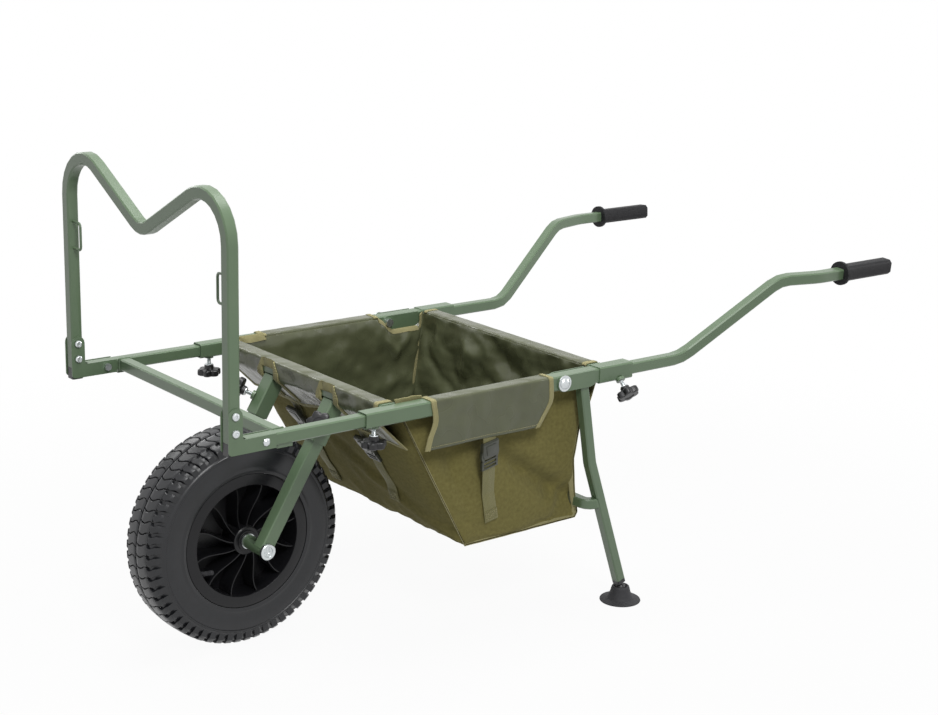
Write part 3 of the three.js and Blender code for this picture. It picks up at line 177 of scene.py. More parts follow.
def material(name):
    """A new material with an empty tree, its tree and its coordinates."""
    made = bpy.data.materials.new(name)
    made.use_nodes = True
    tree = made.node_tree
    tree.nodes.clear()
    return made, tree, add(tree, "ShaderNodeTexCoord")


def patchy(tree, coordinates, size, low, high, detail=3.0):
    """Colour that drifts between two shades over patches of a size in millimetres."""
    cloud = add(tree, "ShaderNodeTexNoise", Vector=coordinates.outputs["Object"], Scale=1 / (size * MM),
                Detail=detail)
    return add(tree, "ShaderNodeMix", {"data_type": "RGBA"}, i0=cloud.outputs["Fac"], i6=linear(low),
               i7=linear(high)).outputs[2]


def grain_bump(tree, coordinates, size, depth, strength, detail=2.0):
    """Fine surface grain of a size and depth in millimetres."""
    grain = add(tree, "ShaderNodeTexNoise", Vector=coordinates.outputs["Object"], Scale=1 / (size * MM),
                Detail=detail)
    return add(tree, "ShaderNodeBump", Height=grain.outputs["Fac"], Strength=strength,
               Distance=depth * MM).outputs["Normal"]


def powder_coated_steel(colours):
    """Mild steel tube, powder coated in satin grey green: an even skin with slight orange peel."""
    made, tree, place = material("Powder coated steel, satin green")
    # Orange peel of a sprayed powder coat is 2 to 3 mm wide; it softens the lamps' reflection.
    colour = patchy(tree, place, 45, colours.paint_dark, colours.paint)
    shader = add(tree, "ShaderNodeBsdfPrincipled", Base_Color=colour, Roughness=0.36, Coat_Weight=0.25,
                 Coat_Roughness=0.22, Normal=grain_bump(tree, place, 2.4, 0.05, 0.35))
    add(tree, "ShaderNodeOutputMaterial", Surface=shader.outputs[0])
    return made


def zinc_plated_steel(colours):
    """Turned and stamped steel, bright zinc plated: cool, slightly cloudy metal."""
    made, tree, place = material("Zinc plated steel, bright")
    colour = patchy(tree, place, 4, "#b9bec0", "#dfe3e4")
    cloud = add(tree, "ShaderNodeTexNoise", Vector=place.outputs["Object"], Scale=1 / (3 * MM))
    rough = add(tree, "ShaderNodeMapRange", Value=cloud.outputs["Fac"], To_Min=0.2, To_Max=0.42)
    shader = add(tree, "ShaderNodeBsdfPrincipled", Base_Color=colour, Metallic=1.0,
                 Roughness=rough.outputs[0], Normal=grain_bump(tree, place, 1.2, 0.05, 0.3))
    add(tree, "ShaderNodeOutputMaterial", Surface=shader.outputs[0])
    return made


def moulded_nylon(colours):
    """Glass-filled nylon, injection moulded and spark-eroded: black with a fine even grain."""
    made, tree, place = material("Moulded nylon, black")
    shader = add(tree, "ShaderNodeBsdfPrincipled", Base_Color=patchy(tree, place, 12, "#111113", "#19191b"),
                 Roughness=0.38, Normal=grain_bump(tree, place, 0.9, 0.08, 0.4))
    add(tree, "ShaderNodeOutputMaterial", Surface=shader.outputs[0])
    return made


def moulded_polypropylene(colours):
    """Polypropylene wheel rim, moulded: charcoal black, satin, with faint flow marks."""
    made, tree, place = material("Moulded polypropylene, charcoal")
    shader = add(tree, "ShaderNodeBsdfPrincipled", Base_Color=patchy(tree, place, 30, "#131315", "#1c1c1f"),
                 Roughness=0.32, Specular_IOR_Level=0.32, Normal=grain_bump(tree, place, 1.6, 0.06, 0.35))
    add(tree, "ShaderNodeOutputMaterial", Surface=shader.outputs[0])
    return made


def vulcanised_rubber(colours):
    """Vulcanised tyre rubber: dark grey with a dry bloom and a fine mould texture."""
    made, tree, place = material("Vulcanised rubber, tyre black")
    shader = add(tree, "ShaderNodeBsdfPrincipled",
                 Base_Color=patchy(tree, place, 25, "#131416", "#222327", 6.0), Roughness=0.33,
                 Normal=grain_bump(tree, place, 1.5, 0.1, 0.45, 5.0))
    add(tree, "ShaderNodeOutputMaterial", Surface=shader.outputs[0])
    return made


def foot_rubber(colours):
    """Moulded natural rubber: matt charcoal, a little dusty."""
    made, tree, place = material("Moulded rubber, charcoal")
    shader = add(tree, "ShaderNodeBsdfPrincipled",
                 Base_Color=patchy(tree, place, 9, "#202023", "#303033", 5.0), Roughness=0.72,
                 Normal=grain_bump(tree, place, 1.0, 0.1, 0.5))
    add(tree, "ShaderNodeOutputMaterial", Surface=shader.outputs[0])
    return made


def grip_rubber(colours):
    """Thermoplastic rubber grip, moulded with a pebbled texture that glints in small points, with painted
    shade in the hollows between the pebbles.
    """
    made, tree, place = material("Thermoplastic rubber, pebbled")
    # Pebbles of a grip are about 1 mm; they are drawn at 2.6 mm so that the image shows them.
    pebbles = add(tree, "ShaderNodeTexVoronoi", {"feature": "F1"}, Vector=place.outputs["Object"],
                  Scale=1 / (2.6 * MM))
    bump = add(tree, "ShaderNodeBump", {"invert": True}, Height=pebbles.outputs["Distance"], Strength=0.9,
               Distance=0.7 * MM)
    # Painted shade: the colour is lighter on each pebble's top and darker in the hollows between the
    # pebbles.
    colour = add(tree, "ShaderNodeMix", {"data_type": "RGBA"}, i0=pebbles.outputs["Distance"],
                 i6=linear("#232326"), i7=linear("#0b0b0c")).outputs[2]
    shader = add(tree, "ShaderNodeBsdfPrincipled", Base_Color=colour, Roughness=0.55,
                 Specular_IOR_Level=0.22, Normal=bump.outputs[0])
    add(tree, "ShaderNodeOutputMaterial", Surface=shader.outputs[0])
    return made


def threads(tree, place, spacing, along, across):
    """Height of a plain weave: two crossed sets of threads of a spacing in millimetres."""
    wave = {"wave_type": "BANDS", "wave_profile": "SIN"}
    scale = math.pi / 10 / (spacing * MM)
    warp = add(tree, "ShaderNodeTexWave", {**wave, "bands_direction": along}, Vector=place, Scale=scale)
    weft = add(tree, "ShaderNodeTexWave", {**wave, "bands_direction": across}, Vector=place, Scale=scale)
    return add(tree, "ShaderNodeMath", {"operation": "MULTIPLY"}, i0=warp.outputs["Fac"],
               i1=weft.outputs["Fac"]).outputs[0]


def woven_polyester(colours):
    """Woven 600 denier polyester, dyed khaki: dull yarn face with a soft sheen at grazing angles."""
    made, tree, place = material("Woven polyester, khaki")
    # The yarns are 0.5 mm apart; the weave is drawn at 1.8 mm so that the image shows it.
    weave = threads(tree, place.outputs["UV"], 1.8, "X", "Y")
    bump = add(tree, "ShaderNodeBump", Height=weave, Strength=0.35, Distance=0.35 * MM)
    slubs = add(tree, "ShaderNodeTexNoise", Vector=place.outputs["UV"], Scale=1 / (7 * MM), Detail=4.0)
    # The colour mixes the yarns' own random slubs with painted shade of the weave, darker where its threads
    # dip.
    shade = add(tree, "ShaderNodeMath", {"operation": "MULTIPLY_ADD"}, i0=weave, i1=0.35,
                i2=slubs.outputs["Fac"])
    colour = add(tree, "ShaderNodeMix", {"data_type": "RGBA"}, i0=shade.outputs[0],
                 i6=linear(colours.cloth_dark_and_weave_shade), i7=linear(colours.cloth)).outputs[2]
    shader = add(tree, "ShaderNodeBsdfPrincipled", Base_Color=colour, Roughness=0.9, Specular_IOR_Level=0.2,
                 Sheen_Weight=0.05, Sheen_Roughness=0.6, Normal=bump.outputs[0])
    add(tree, "ShaderNodeOutputMaterial", Surface=shader.outputs[0])
    return made


def coated_polyester(colours):
    """The cloth's polyurethane-coated face: grey olive, half glossy and crumpled over its weave."""
    made, tree, place = material("Polyurethane coated polyester, grey olive")
    weave = threads(tree, place.outputs["UV"], 1.8, "X", "Y")
    # Soft crumples 90 mm across, and longer creases 150 mm apart, catch the light in bright patches.
    drift = add(tree, "ShaderNodeTexNoise", Vector=place.outputs["UV"], Scale=1 / (90 * MM), Detail=2.0)
    pushed = add(tree, "ShaderNodeVectorMath", {"operation": "MULTIPLY_ADD"}, i0=drift.outputs["Color"],
                 i1=(0.06, 0.06, 0.06), i2=place.outputs["UV"])
    creases = add(tree, "ShaderNodeTexNoise", {"noise_type": "RIDGED_MULTIFRACTAL"},
                  Vector=pushed.outputs[0], Scale=1 / (150 * MM), Detail=1.0, Roughness=0.25)
    height = add(tree, "ShaderNodeMath", {"operation": "MULTIPLY_ADD"}, i0=drift.outputs["Fac"], i1=6.0,
                 i2=creases.outputs["Fac"])
    crumple = add(tree, "ShaderNodeBump", Height=height.outputs[0], Strength=0.9, Distance=2.9 * MM)
    bump = add(tree, "ShaderNodeBump", Height=weave, Strength=0.25, Distance=0.2 * MM,
               Normal=crumple.outputs[0])
    # The colour follows the crumples' drift: random darker patches of the coating, which are also painted
    # shade in the crumples' hollows.
    colour = add(tree, "ShaderNodeMix", {"data_type": "RGBA"}, i0=drift.outputs["Fac"],
                 i6=linear(colours.coating_dark_and_crumple_shade), i7=linear(colours.coating)).outputs[2]
    rough = add(tree, "ShaderNodeMapRange", Value=drift.outputs["Fac"], To_Min=0.17, To_Max=0.38)
    shader = add(tree, "ShaderNodeBsdfPrincipled", Base_Color=colour, Roughness=rough.outputs[0],
                 Specular_IOR_Level=0.5, Normal=bump.outputs[0])
    add(tree, "ShaderNodeOutputMaterial", Surface=shader.outputs[0])
    return made


def grosgrain_tape(colours):
    """Polyester grosgrain binding: pale khaki tape with fine cross ribs, and painted shade in the valleys
    between them.
    """
    made, tree, place = material("Polyester grosgrain, pale khaki")
    # Ribs are 0.8 mm apart; drawn at 2 mm so that the image shows them.
    ribs = add(tree, "ShaderNodeTexWave", {"bands_direction": "Y"}, Vector=place.outputs["UV"],
               Scale=math.pi / 10 / (2 * MM))
    bump = add(tree, "ShaderNodeBump", Height=ribs.outputs["Fac"], Strength=0.6, Distance=0.3 * MM)
    # Painted shade: the colour is darker in the valleys between the ribs.
    colour = add(tree, "ShaderNodeMix", {"data_type": "RGBA"}, i0=ribs.outputs["Fac"],
                 i6=linear(colours.tape_valley_shade), i7=linear(colours.tape)).outputs[2]
    shader = add(tree, "ShaderNodeBsdfPrincipled", Base_Color=colour, Roughness=0.8, Sheen_Weight=0.08,
                 Normal=bump.outputs[0])
    add(tree, "ShaderNodeOutputMaterial", Surface=shader.outputs[0])
    return made


def herringbone_webbing(colours):
    """Polypropylene webbing, woven in a herringbone: khaki, with a soft sheen, a painted highlight on its
    ridges and painted shade in its valleys.
    """
    made, tree, place = material("Polypropylene webbing, herringbone")
    # A strap's U runs 0 to 1 over its width, and V in metres along it. Ridges slant both ways.
    split = add(tree, "ShaderNodeSeparateXYZ", Vector=place.outputs["UV"])
    across = add(tree, "ShaderNodeMath", {"operation": "PINGPONG"}, i0=split.outputs[0], i1=0.25)
    slant = add(tree, "ShaderNodeMath", {"operation": "MULTIPLY_ADD"}, i0=across.outputs[0], i1=0.025,
                i2=split.outputs[1])
    # The ridges are 1.3 mm apart; drawn at 2.6 mm so that the image shows them.
    turn = add(tree, "ShaderNodeMath", {"operation": "MULTIPLY"}, i0=slant.outputs[0],
               i1=2 * math.pi / (2.6 * MM))
    ridge = add(tree, "ShaderNodeMath", {"operation": "SINE"}, i0=turn.outputs[0])
    bump = add(tree, "ShaderNodeBump", Height=ridge.outputs[0], Strength=0.5, Distance=0.3 * MM)
    # Painted highlight and shade: the colour is lighter on the ridges and darker in the valleys.
    shade = add(tree, "ShaderNodeMapRange", i0=ridge.outputs[0], i1=-1.0, i2=1.0)
    colour = add(tree, "ShaderNodeMix", {"data_type": "RGBA"}, i0=shade.outputs[0],
                 i6=linear(colours.webbing_valley_shade), i7=linear(colours.webbing)).outputs[2]
    shader = add(tree, "ShaderNodeBsdfPrincipled", Base_Color=colour, Roughness=0.7, Sheen_Weight=0.15,
                 Normal=bump.outputs[0])
    add(tree, "ShaderNodeOutputMaterial", Surface=shader.outputs[0])
    return made


def corded_piping(colours):
    """Piping: cloth sewn round a cord, darker than the cloth partly by its own tone and partly as painted
    shade of its seam.
    """
    made, tree, place = material("Woven polyester piping, dark khaki with painted seam shade")
    # Painted shade: the piping's colour is darkened to stand for the shadow in the seam's groove, besides
    # its own darker tone.
    shader = add(tree, "ShaderNodeBsdfPrincipled", Base_Color=patchy(tree, place, 6, "#34301a", "#4a4526"),
                 Roughness=0.85, Specular_IOR_Level=0.2, Normal=grain_bump(tree, place, 1.8, 0.3, 0.6))
    add(tree, "ShaderNodeOutputMaterial", Surface=shader.outputs[0])
    return made


def moulded_acetal(colours):
    """Acetal buckle, injection moulded: dark olive grey with a waxy gloss."""
    made, tree, place = material("Moulded acetal, dark olive")
    shader = add(tree, "ShaderNodeBsdfPrincipled", Base_Color=patchy(tree, place, 10, "#34362e", "#45483d"),
                 Roughness=0.34, Normal=grain_bump(tree, place, 0.8, 0.05, 0.3))
    add(tree, "ShaderNodeOutputMaterial", Surface=shader.outputs[0])
    return made


def spun_thread(colours):
    """Bonded polyester sewing thread: pale khaki, slightly lustrous."""
    made, tree, place = material("Bonded polyester thread")
    shader = add(tree, "ShaderNodeBsdfPrincipled", Base_Color=patchy(tree, place, 2, "#8d875c", "#a39d72"),
                 Roughness=0.6, Sheen_Weight=0.2)
    add(tree, "ShaderNodeOutputMaterial", Surface=shader.outputs[0])
    return made


# Every maker is given the colours that the user can change.
MAKERS = {
    "green_paint": powder_coated_steel,
    "zinc_plate": zinc_plated_steel,
    "black_plastic": moulded_nylon,
    "rim_plastic": moulded_polypropylene,
    "tyre_rubber": vulcanised_rubber,
    "black_rubber": foot_rubber,
    "grip_rubber": grip_rubber,
    "khaki_cloth": woven_polyester,
    "coated_cloth": coated_polyester,
    "tape": grosgrain_tape,
    "piping": corded_piping,
    "webbing": herringbone_webbing,
    "buckle": moulded_acetal,
    "thread": spun_thread,
}
finishes = {}


def finish(kind):
    """The material of a kind, made once."""
    if kind not in finishes:
        finishes[kind] = MAKERS[kind](bpy.context.scene.trolley_finish)
    return finishes[kind]


def placed(name, mesh, *materials):
    """An object of a mesh in the scene, with its materials."""
    made = bpy.data.objects.new(name, mesh)
    bpy.context.scene.collection.objects.link(made)
    mesh.materials.clear()
    for entry in materials:
        mesh.materials.append(entry)
    return made


def linked(name, mesh, body, slot, *materials):
    """An object of a mesh that rides on a body; its slot is not used."""
    made = placed(name, mesh, *materials)
    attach(made, body)
    return made


def smoothed(mesh, degrees):
    """Smooth shading, with edges sharper than an angle kept."""
    mesh.polygons.foreach_set("use_smooth", [True] * len(mesh.polygons))
    mesh.set_sharp_from_angle(angle=math.radians(degrees))
    return mesh


def mesh_of(name, places, faces, degrees=40.0, uvs=None):
    """A mesh from places and faces, its normals made to point outwards."""
    mesh = bpy.data.meshes.new(name)
    mesh.from_pydata([tuple(p) for p in places], [], faces)
    if uvs is not None:
        layer = mesh.uv_layers.new(name="UVMap")
        spots = np.array([uvs[v] for face in faces for v in face], np.float32)
        layer.data.foreach_set("uv", spots.ravel())
    shell = bmesh.new()
    shell.from_mesh(mesh)
    bmesh.ops.remove_doubles(shell, verts=shell.verts, dist=1e-6)
    bmesh.ops.recalc_face_normals(shell, faces=shell.faces)
    shell.to_mesh(mesh)
    shell.free()
    return smoothed(mesh, degrees)


def applied(made):
    """The object with its modifiers made real."""
    bpy.context.view_layer.update()
    shown = made.evaluated_get(bpy.context.evaluated_depsgraph_get())
    mesh = bpy.data.meshes.new_from_object(shown)
    made.modifiers.clear()
    old = made.data
    made.data = mesh
    bpy.data.meshes.remove(old)
    return made


def turned(name, profile, centre, axis, segments=64, degrees=35.0):
    """A closed profile of (radius, along) millimetres turned round an axis."""
    axis = Vector(axis).normalized()
    side = axis.orthogonal().normalized()
    other = axis.cross(side)
    places = []
    for step in range(segments):
        angle = 2 * math.pi * step / segments
        out = side * math.cos(angle) + other * math.sin(angle)
        places += [centre + (out * radius + axis * along) * MM for radius, along in profile]
    count = len(profile)
    faces = []
    for step in range(segments):
        here, there = step * count, (step + 1) % segments * count
        for i in range(count - 1):
            faces.append((here + i, here + i + 1, there + i + 1, there + i))
    mesh = mesh_of(name, places, faces, degrees)
    tidy_mesh(mesh)
    return smoothed(mesh, degrees)


def tidy_mesh(mesh):
    """Closes poles and drops faces with no area, then turns the faces outwards."""
    shell = bmesh.new()
    shell.from_mesh(mesh)
    bmesh.ops.remove_doubles(shell, verts=shell.verts, dist=1e-6)
    bmesh.ops.dissolve_degenerate(shell, edges=shell.edges, dist=1e-6)
    bmesh.ops.recalc_face_normals(shell, faces=shell.faces)
    shell.to_mesh(mesh)
    shell.free()


def merged(name, meshes):
    """Several meshes joined as one."""
    whole = bmesh.new()
    for part in meshes:
        whole.from_mesh(part)
        bpy.data.meshes.remove(part)
    mesh = bpy.data.meshes.new(name)
    whole.to_mesh(mesh)
    whole.free()
    return mesh


def tube_faces(rows, count):
    """Faces of a tube whose places stand in rows of a count each, with both ends shut."""
    faces = []
    for i in range(rows - 1):
        for j in range(count):
            k = (j + 1) % count
            faces.append((i * count + j, i * count + k, (i + 1) * count + k, (i + 1) * count + j))
    faces.append(tuple(range(count)))
    faces.append(tuple(range((rows - 1) * count, rows * count)))
    return faces


def heading(path, i):
    """The direction of a path at one of its places."""
    return (path[min(i + 1, len(path) - 1)] - path[max(i - 1, 0)]).normalized()


def swept(name, path, ring, up):
    """A ring of (across, up) millimetres carried along a path of places in metres."""
    places, uvs = [], []
    count = len(ring)
    run = 0.0
    around = [0.0]
    for here, there in zip(ring, ring[1:]):
        around.append(around[-1] + math.dist(here, there) * MM)
    lift = Vector(up)
    for i, place in enumerate(path):
        ahead = heading(path, i)
        lift = (lift - ahead * lift.dot(ahead)).normalized()
        across = ahead.cross(lift)
        places += [place + (across * x + lift * y) * MM for x, y in ring]
        uvs += [(around[j], run) for j in range(count)]
        if i + 1 < len(path):
            run += (path[i + 1] - place).length
    return mesh_of(name, places, tube_faces(len(path), count), 40.0, uvs)


def ribbon(name, path, normals, width, thickness):
    """Webbing: a flat strip with softened edges, U from 0 to 1 over its width and V in metres along it."""
    ring = [(-0.5, -0.3), (-0.47, -0.5), (0.47, -0.5), (0.5, -0.3),
            (0.5, 0.3), (0.47, 0.5), (-0.47, 0.5), (-0.5, 0.3)]
    places, uvs = [], []
    run = 0.0
    for i, place in enumerate(path):
        ahead = heading(path, i)
        out = normals[i]
        out = (out - ahead * out.dot(ahead)).normalized()
        across = ahead.cross(out)
        places += [place + across * width * x * MM + out * thickness * y * MM for x, y in ring]
        uvs += [(x + 0.5, run) for x, y in ring]
        if i + 1 < len(path):
            run += (path[i + 1] - place).length
    return mesh_of(name, places, tube_faces(len(path), len(ring)), 50.0, uvs)


def rounded(points, radius, steps=5):
    """A broken line in metres with its inner corners rounded to a radius in millimetres."""
    points = [Vector(p) for p in points]
    line = [points[0]]
    for before, corner, after in zip(points, points[1:], points[2:]):
        back, on = (before - corner), (after - corner)
        reach = min(radius * MM, back.length * 0.45, on.length * 0.45)
        start, end = corner + back.normalized() * reach, corner + on.normalized() * reach
        for i in range(steps + 1):
            t = i / steps
            line.append(start.lerp(corner, t).lerp(corner.lerp(end, t), t))
    line.append(points[-1])
    return line


def dense(points, step):
    """A line in metres with places no further apart than a step in millimetres."""
    line = [Vector(points[0])]
    for a, b in zip(points, points[1:]):
        a, b = Vector(a), Vector(b)
        count = max(1, math.ceil((b - a).length / (step * MM)))
        line += [a.lerp(b, i / count) for i in range(1, count + 1)]
    return line


def node_group(name, inputs):
    """A geometry node tree with named inputs, and its input and output nodes."""
    tree = bpy.data.node_groups.new(name, "GeometryNodeTree")
    tree.interface.new_socket("Geometry", in_out="INPUT", socket_type="NodeSocketGeometry")
    for label, kind, value in inputs:
        socket = tree.interface.new_socket(label, in_out="INPUT", socket_type=kind)
        if value is not None:
            socket.default_value = value
    tree.interface.new_socket("Geometry", in_out="OUTPUT", socket_type="NodeSocketGeometry")
    return tree, tree.nodes.new("NodeGroupInput"), tree.nodes.new("NodeGroupOutput")


def beads_along_lines():
    """Rounded beads set at a spacing along every line of a mesh: stitches, or the ripples of a weld."""
    tree, start, end = node_group("Beads along lines",
                                  [("Spacing", "NodeSocketFloat", 0.004),
                                   ("Bead Size", "NodeSocketVector", None),
                                   ("Material", "NodeSocketMaterial", None)])
    line = add(tree, "GeometryNodeMeshToCurve", Mesh=start.outputs["Geometry"])
    points = add(tree, "GeometryNodeResampleCurve", {"mode": "LENGTH"}, Curve=line.outputs[0],
                 Length=start.outputs["Spacing"])
    bead = add(tree, "GeometryNodeMeshUVSphere", Segments=6, Rings=4, Radius=1.0)
    bead_sized = add(tree, "GeometryNodeTransform", Geometry=bead.outputs["Mesh"],
                     Scale=start.outputs["Bead Size"])
    ahead = add(tree, "GeometryNodeInputTangent")
    facing = add(tree, "FunctionNodeAlignRotationToVector", {"axis": "Z"}, Vector=ahead.outputs[0])
    copies = add(tree, "GeometryNodeInstanceOnPoints", Points=points.outputs[0],
                 Instance=bead_sized.outputs[0], Rotation=facing.outputs[0])
    real = add(tree, "GeometryNodeRealizeInstances", Geometry=copies.outputs[0])
    smooth = add(tree, "GeometryNodeSetShadeSmooth", Geometry=real.outputs[0])
    painted = add(tree, "GeometryNodeSetMaterial", Geometry=smooth.outputs[0],
                  Material=start.outputs["Material"])
    tree.links.new(painted.outputs[0], end.inputs[0])
    return tree


def ring_of_copies():
    """Copies of a mesh set evenly round the wheel's axle: tread blocks and rim ribs."""
    tree, start, end = node_group("Ring of copies",
                                  [("Count", "NodeSocketInt", 12), ("Centre", "NodeSocketVector", None),
                                   ("Material", "NodeSocketMaterial", None)])
    back = add(tree, "ShaderNodeVectorMath", {"operation": "SCALE"}, i0=start.outputs["Centre"], Scale=-1.0)
    centred = add(tree, "GeometryNodeTransform", Geometry=start.outputs["Geometry"],
                  Translation=back.outputs[0])
    points = add(tree, "GeometryNodePoints", Count=start.outputs["Count"], Position=start.outputs["Centre"])
    index = add(tree, "GeometryNodeInputIndex")
    share = add(tree, "ShaderNodeMath", {"operation": "DIVIDE"}, i0=index.outputs[0],
                i1=start.outputs["Count"])
    angle = add(tree, "ShaderNodeMath", {"operation": "MULTIPLY"}, i0=share.outputs[0], i1=2 * math.pi)
    turn = add(tree, "ShaderNodeCombineXYZ", Y=angle.outputs[0])
    rotation = add(tree, "FunctionNodeEulerToRotation", Euler=turn.outputs[0])
    copies = add(tree, "GeometryNodeInstanceOnPoints", Points=points.outputs[0],
                 Instance=centred.outputs[0], Rotation=rotation.outputs[0])
    real = add(tree, "GeometryNodeRealizeInstances", Geometry=copies.outputs[0])
    painted = add(tree, "GeometryNodeSetMaterial", Geometry=real.outputs[0],
                  Material=start.outputs["Material"])
    tree.links.new(painted.outputs[0], end.inputs[0])
    return tree


trees = {}


def grown(name, mesh, maker, values, body, look):
    """A mesh run through a geometry node tree with its inputs set, as a plain piece on a body."""
    tree = trees.get(maker.__name__) or trees.setdefault(maker.__name__, maker())
    made = placed(name, mesh)
    step = made.modifiers.new("Repeat", "NODES")
    step.node_group = tree
    for socket in tree.interface.items_tree:
        if socket.in_out == "INPUT" and socket.name in values:
            step[socket.identifier] = values[socket.name]
        if socket.in_out == "INPUT" and socket.name == "Material":
            step[socket.identifier] = finish(look)
    applied(made)
    made.data.materials.clear()
    made.data.materials.append(finish(look))
    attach(made, body)
    return made


def lines_mesh(name, lines):
    """A mesh of bare edges along several lines of places."""
    places, edges = [], []
    for line in lines:
        first = len(places)
        places += [tuple(p) for p in line]
        edges += [(first + i, first + i + 1) for i in range(len(line) - 1)]
    mesh = bpy.data.meshes.new(name)
    mesh.from_pydata(places, edges, [])
    return mesh


def sewn(name, lines, body="frame"):
    """Rows of lockstitch along lines."""
    trim = bpy.context.scene.trolley_trim
    size = Vector((trim.thread_width * 0.5, trim.thread_width * 0.5, trim.stitch_length * 0.42))
    return grown(name, lines_mesh(name, lines), beads_along_lines,
                 {"Spacing": trim.stitch_length, "Bead Size": size}, body, "thread")


def welded(name, lines, body):
    """Rippled weld beads along lines."""
    trim = bpy.context.scene.trolley_trim
    size = Vector((trim.weld_width * 0.5, trim.weld_width * 0.5, trim.weld_width * 0.34))
    return grown(name, lines_mesh(name, lines), beads_along_lines,
                 {"Spacing": trim.weld_width * 0.42, "Bead Size": size}, body, "green_paint")


def dressed(node, look, degrees=32.0):
    """A smooth-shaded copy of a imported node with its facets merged, in place of the node."""
    source = frame["nodes"][node]
    mesh = source.data.copy()
    tidy = bmesh.new()
    tidy.from_mesh(mesh)
    bmesh.ops.remove_doubles(tidy, verts=tidy.verts, dist=2e-6)
    bmesh.ops.dissolve_limit(tidy, angle_limit=math.radians(0.4), verts=tidy.verts, edges=tidy.edges)
    tidy.to_mesh(mesh)
    tidy.free()
    smoothed(mesh, degrees)
    made = placed(node + "_finish", mesh, finish(look))
    even = made.modifiers.new("Even shading", "WEIGHTED_NORMAL")
    even.keep_sharp = True
    applied(made)
    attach(made, source["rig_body"])
    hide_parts(node)
    return made


def swatch(name, description, code):
    """A colour that the user can change."""
    return bpy.props.FloatVectorProperty(name=name, description=description, default=linear(code)[:3],
                                         size=3, min=0.0, max=1.0, subtype="COLOR")


class TROLLEY_PG_finish(bpy.types.PropertyGroup):
    """Colours of the trolley's materials."""
    paint: swatch("Paint", "Powder coat colour", "#61755a")
    paint_dark: swatch("Paint shade", "Darker shade of the powder coat", "#566b50")
    cloth: swatch("Cloth", "Woven face of the bag", "#807946")
    # Used both as the slubs' darker tone and as painted shade in the weave's dips.
    cloth_dark_and_weave_shade: swatch("Cloth shade", "Darker yarns of the bag", "#58522a")
    coating: swatch("Coating", "Coated face of the bag", "#5d6248")
    # Used both as the coating's random darker patches and as painted shade in the crumples' hollows.
    coating_dark_and_crumple_shade: swatch("Coating shade", "Darker patches of the coating", "#484a34")
    tape: swatch("Binding", "Binding tape", "#a39d72")
    # Painted shade of the binding's rib valleys.
    tape_valley_shade: swatch("Binding shade", "Valleys of the binding tape", "#777249")
    webbing: swatch("Webbing", "Strap webbing", "#8a8658")
    # Painted shade of the webbing's valleys.
    webbing_valley_shade: swatch("Webbing shade", "Valleys of the webbing", "#5b5830")


class TROLLEY_PG_wheel(bpy.types.PropertyGroup):
    """Sizes of the wheel's finer forms."""
    blocks: bpy.props.IntProperty(name="Tread blocks", description="Blocks round the tyre in each row",
                                  default=60, min=20)
    ribs: bpy.props.IntProperty(name="Rim ribs", description="Curved ribs round the rim", default=12, min=3)
    groove: bpy.props.FloatProperty(name="Sipe width", description="Gap between tread blocks",
                                    default=0.0021, unit="LENGTH")
    depth: bpy.props.FloatProperty(name="Tread depth", description="Height of the tread blocks",
                                   default=0.005, unit="LENGTH")


class TROLLEY_PG_bag(bpy.types.PropertyGroup):
    """How the bag's cloth is cut and hangs."""
    cell: bpy.props.FloatProperty(name="Cloth cell", description="Spacing of the cloth's net",
                                  default=0.0105, unit="LENGTH")
    thickness: bpy.props.FloatProperty(name="Cloth thickness", description="Thickness of the coated cloth",
                                       default=0.0011, unit="LENGTH")
    fullness: bpy.props.FloatProperty(name="Fullness",
                                      description="How much wider the cloth is cut than the space it fills",
                                      default=0.012)
    reach: bpy.props.FloatProperty(name="Fold reach",
                                   description="Furthest that a fold stands from the pattern's shape",
                                   default=0.011, unit="LENGTH")
    frames: bpy.props.IntProperty(name="Settling steps", description="Steps of the cloth simulation",
                                  default=24, min=1)


class TROLLEY_PG_trim(bpy.types.PropertyGroup):
    """Sizes of stitches, tape and welds."""
    stitch_length: bpy.props.FloatProperty(name="Stitch length", description="Spacing of the lockstitch",
                                           default=0.0045, unit="LENGTH")
    thread_width: bpy.props.FloatProperty(name="Thread width", description="Width of the sewing thread",
                                          default=0.0011, unit="LENGTH")
    tape_width: bpy.props.FloatProperty(name="Binding width",
                                        description="Width of the folded binding tape", default=0.0098,
                                        unit="LENGTH")
    weld_width: bpy.props.FloatProperty(name="Weld width", description="Width of the weld beads",
                                        default=0.0042, unit="LENGTH")


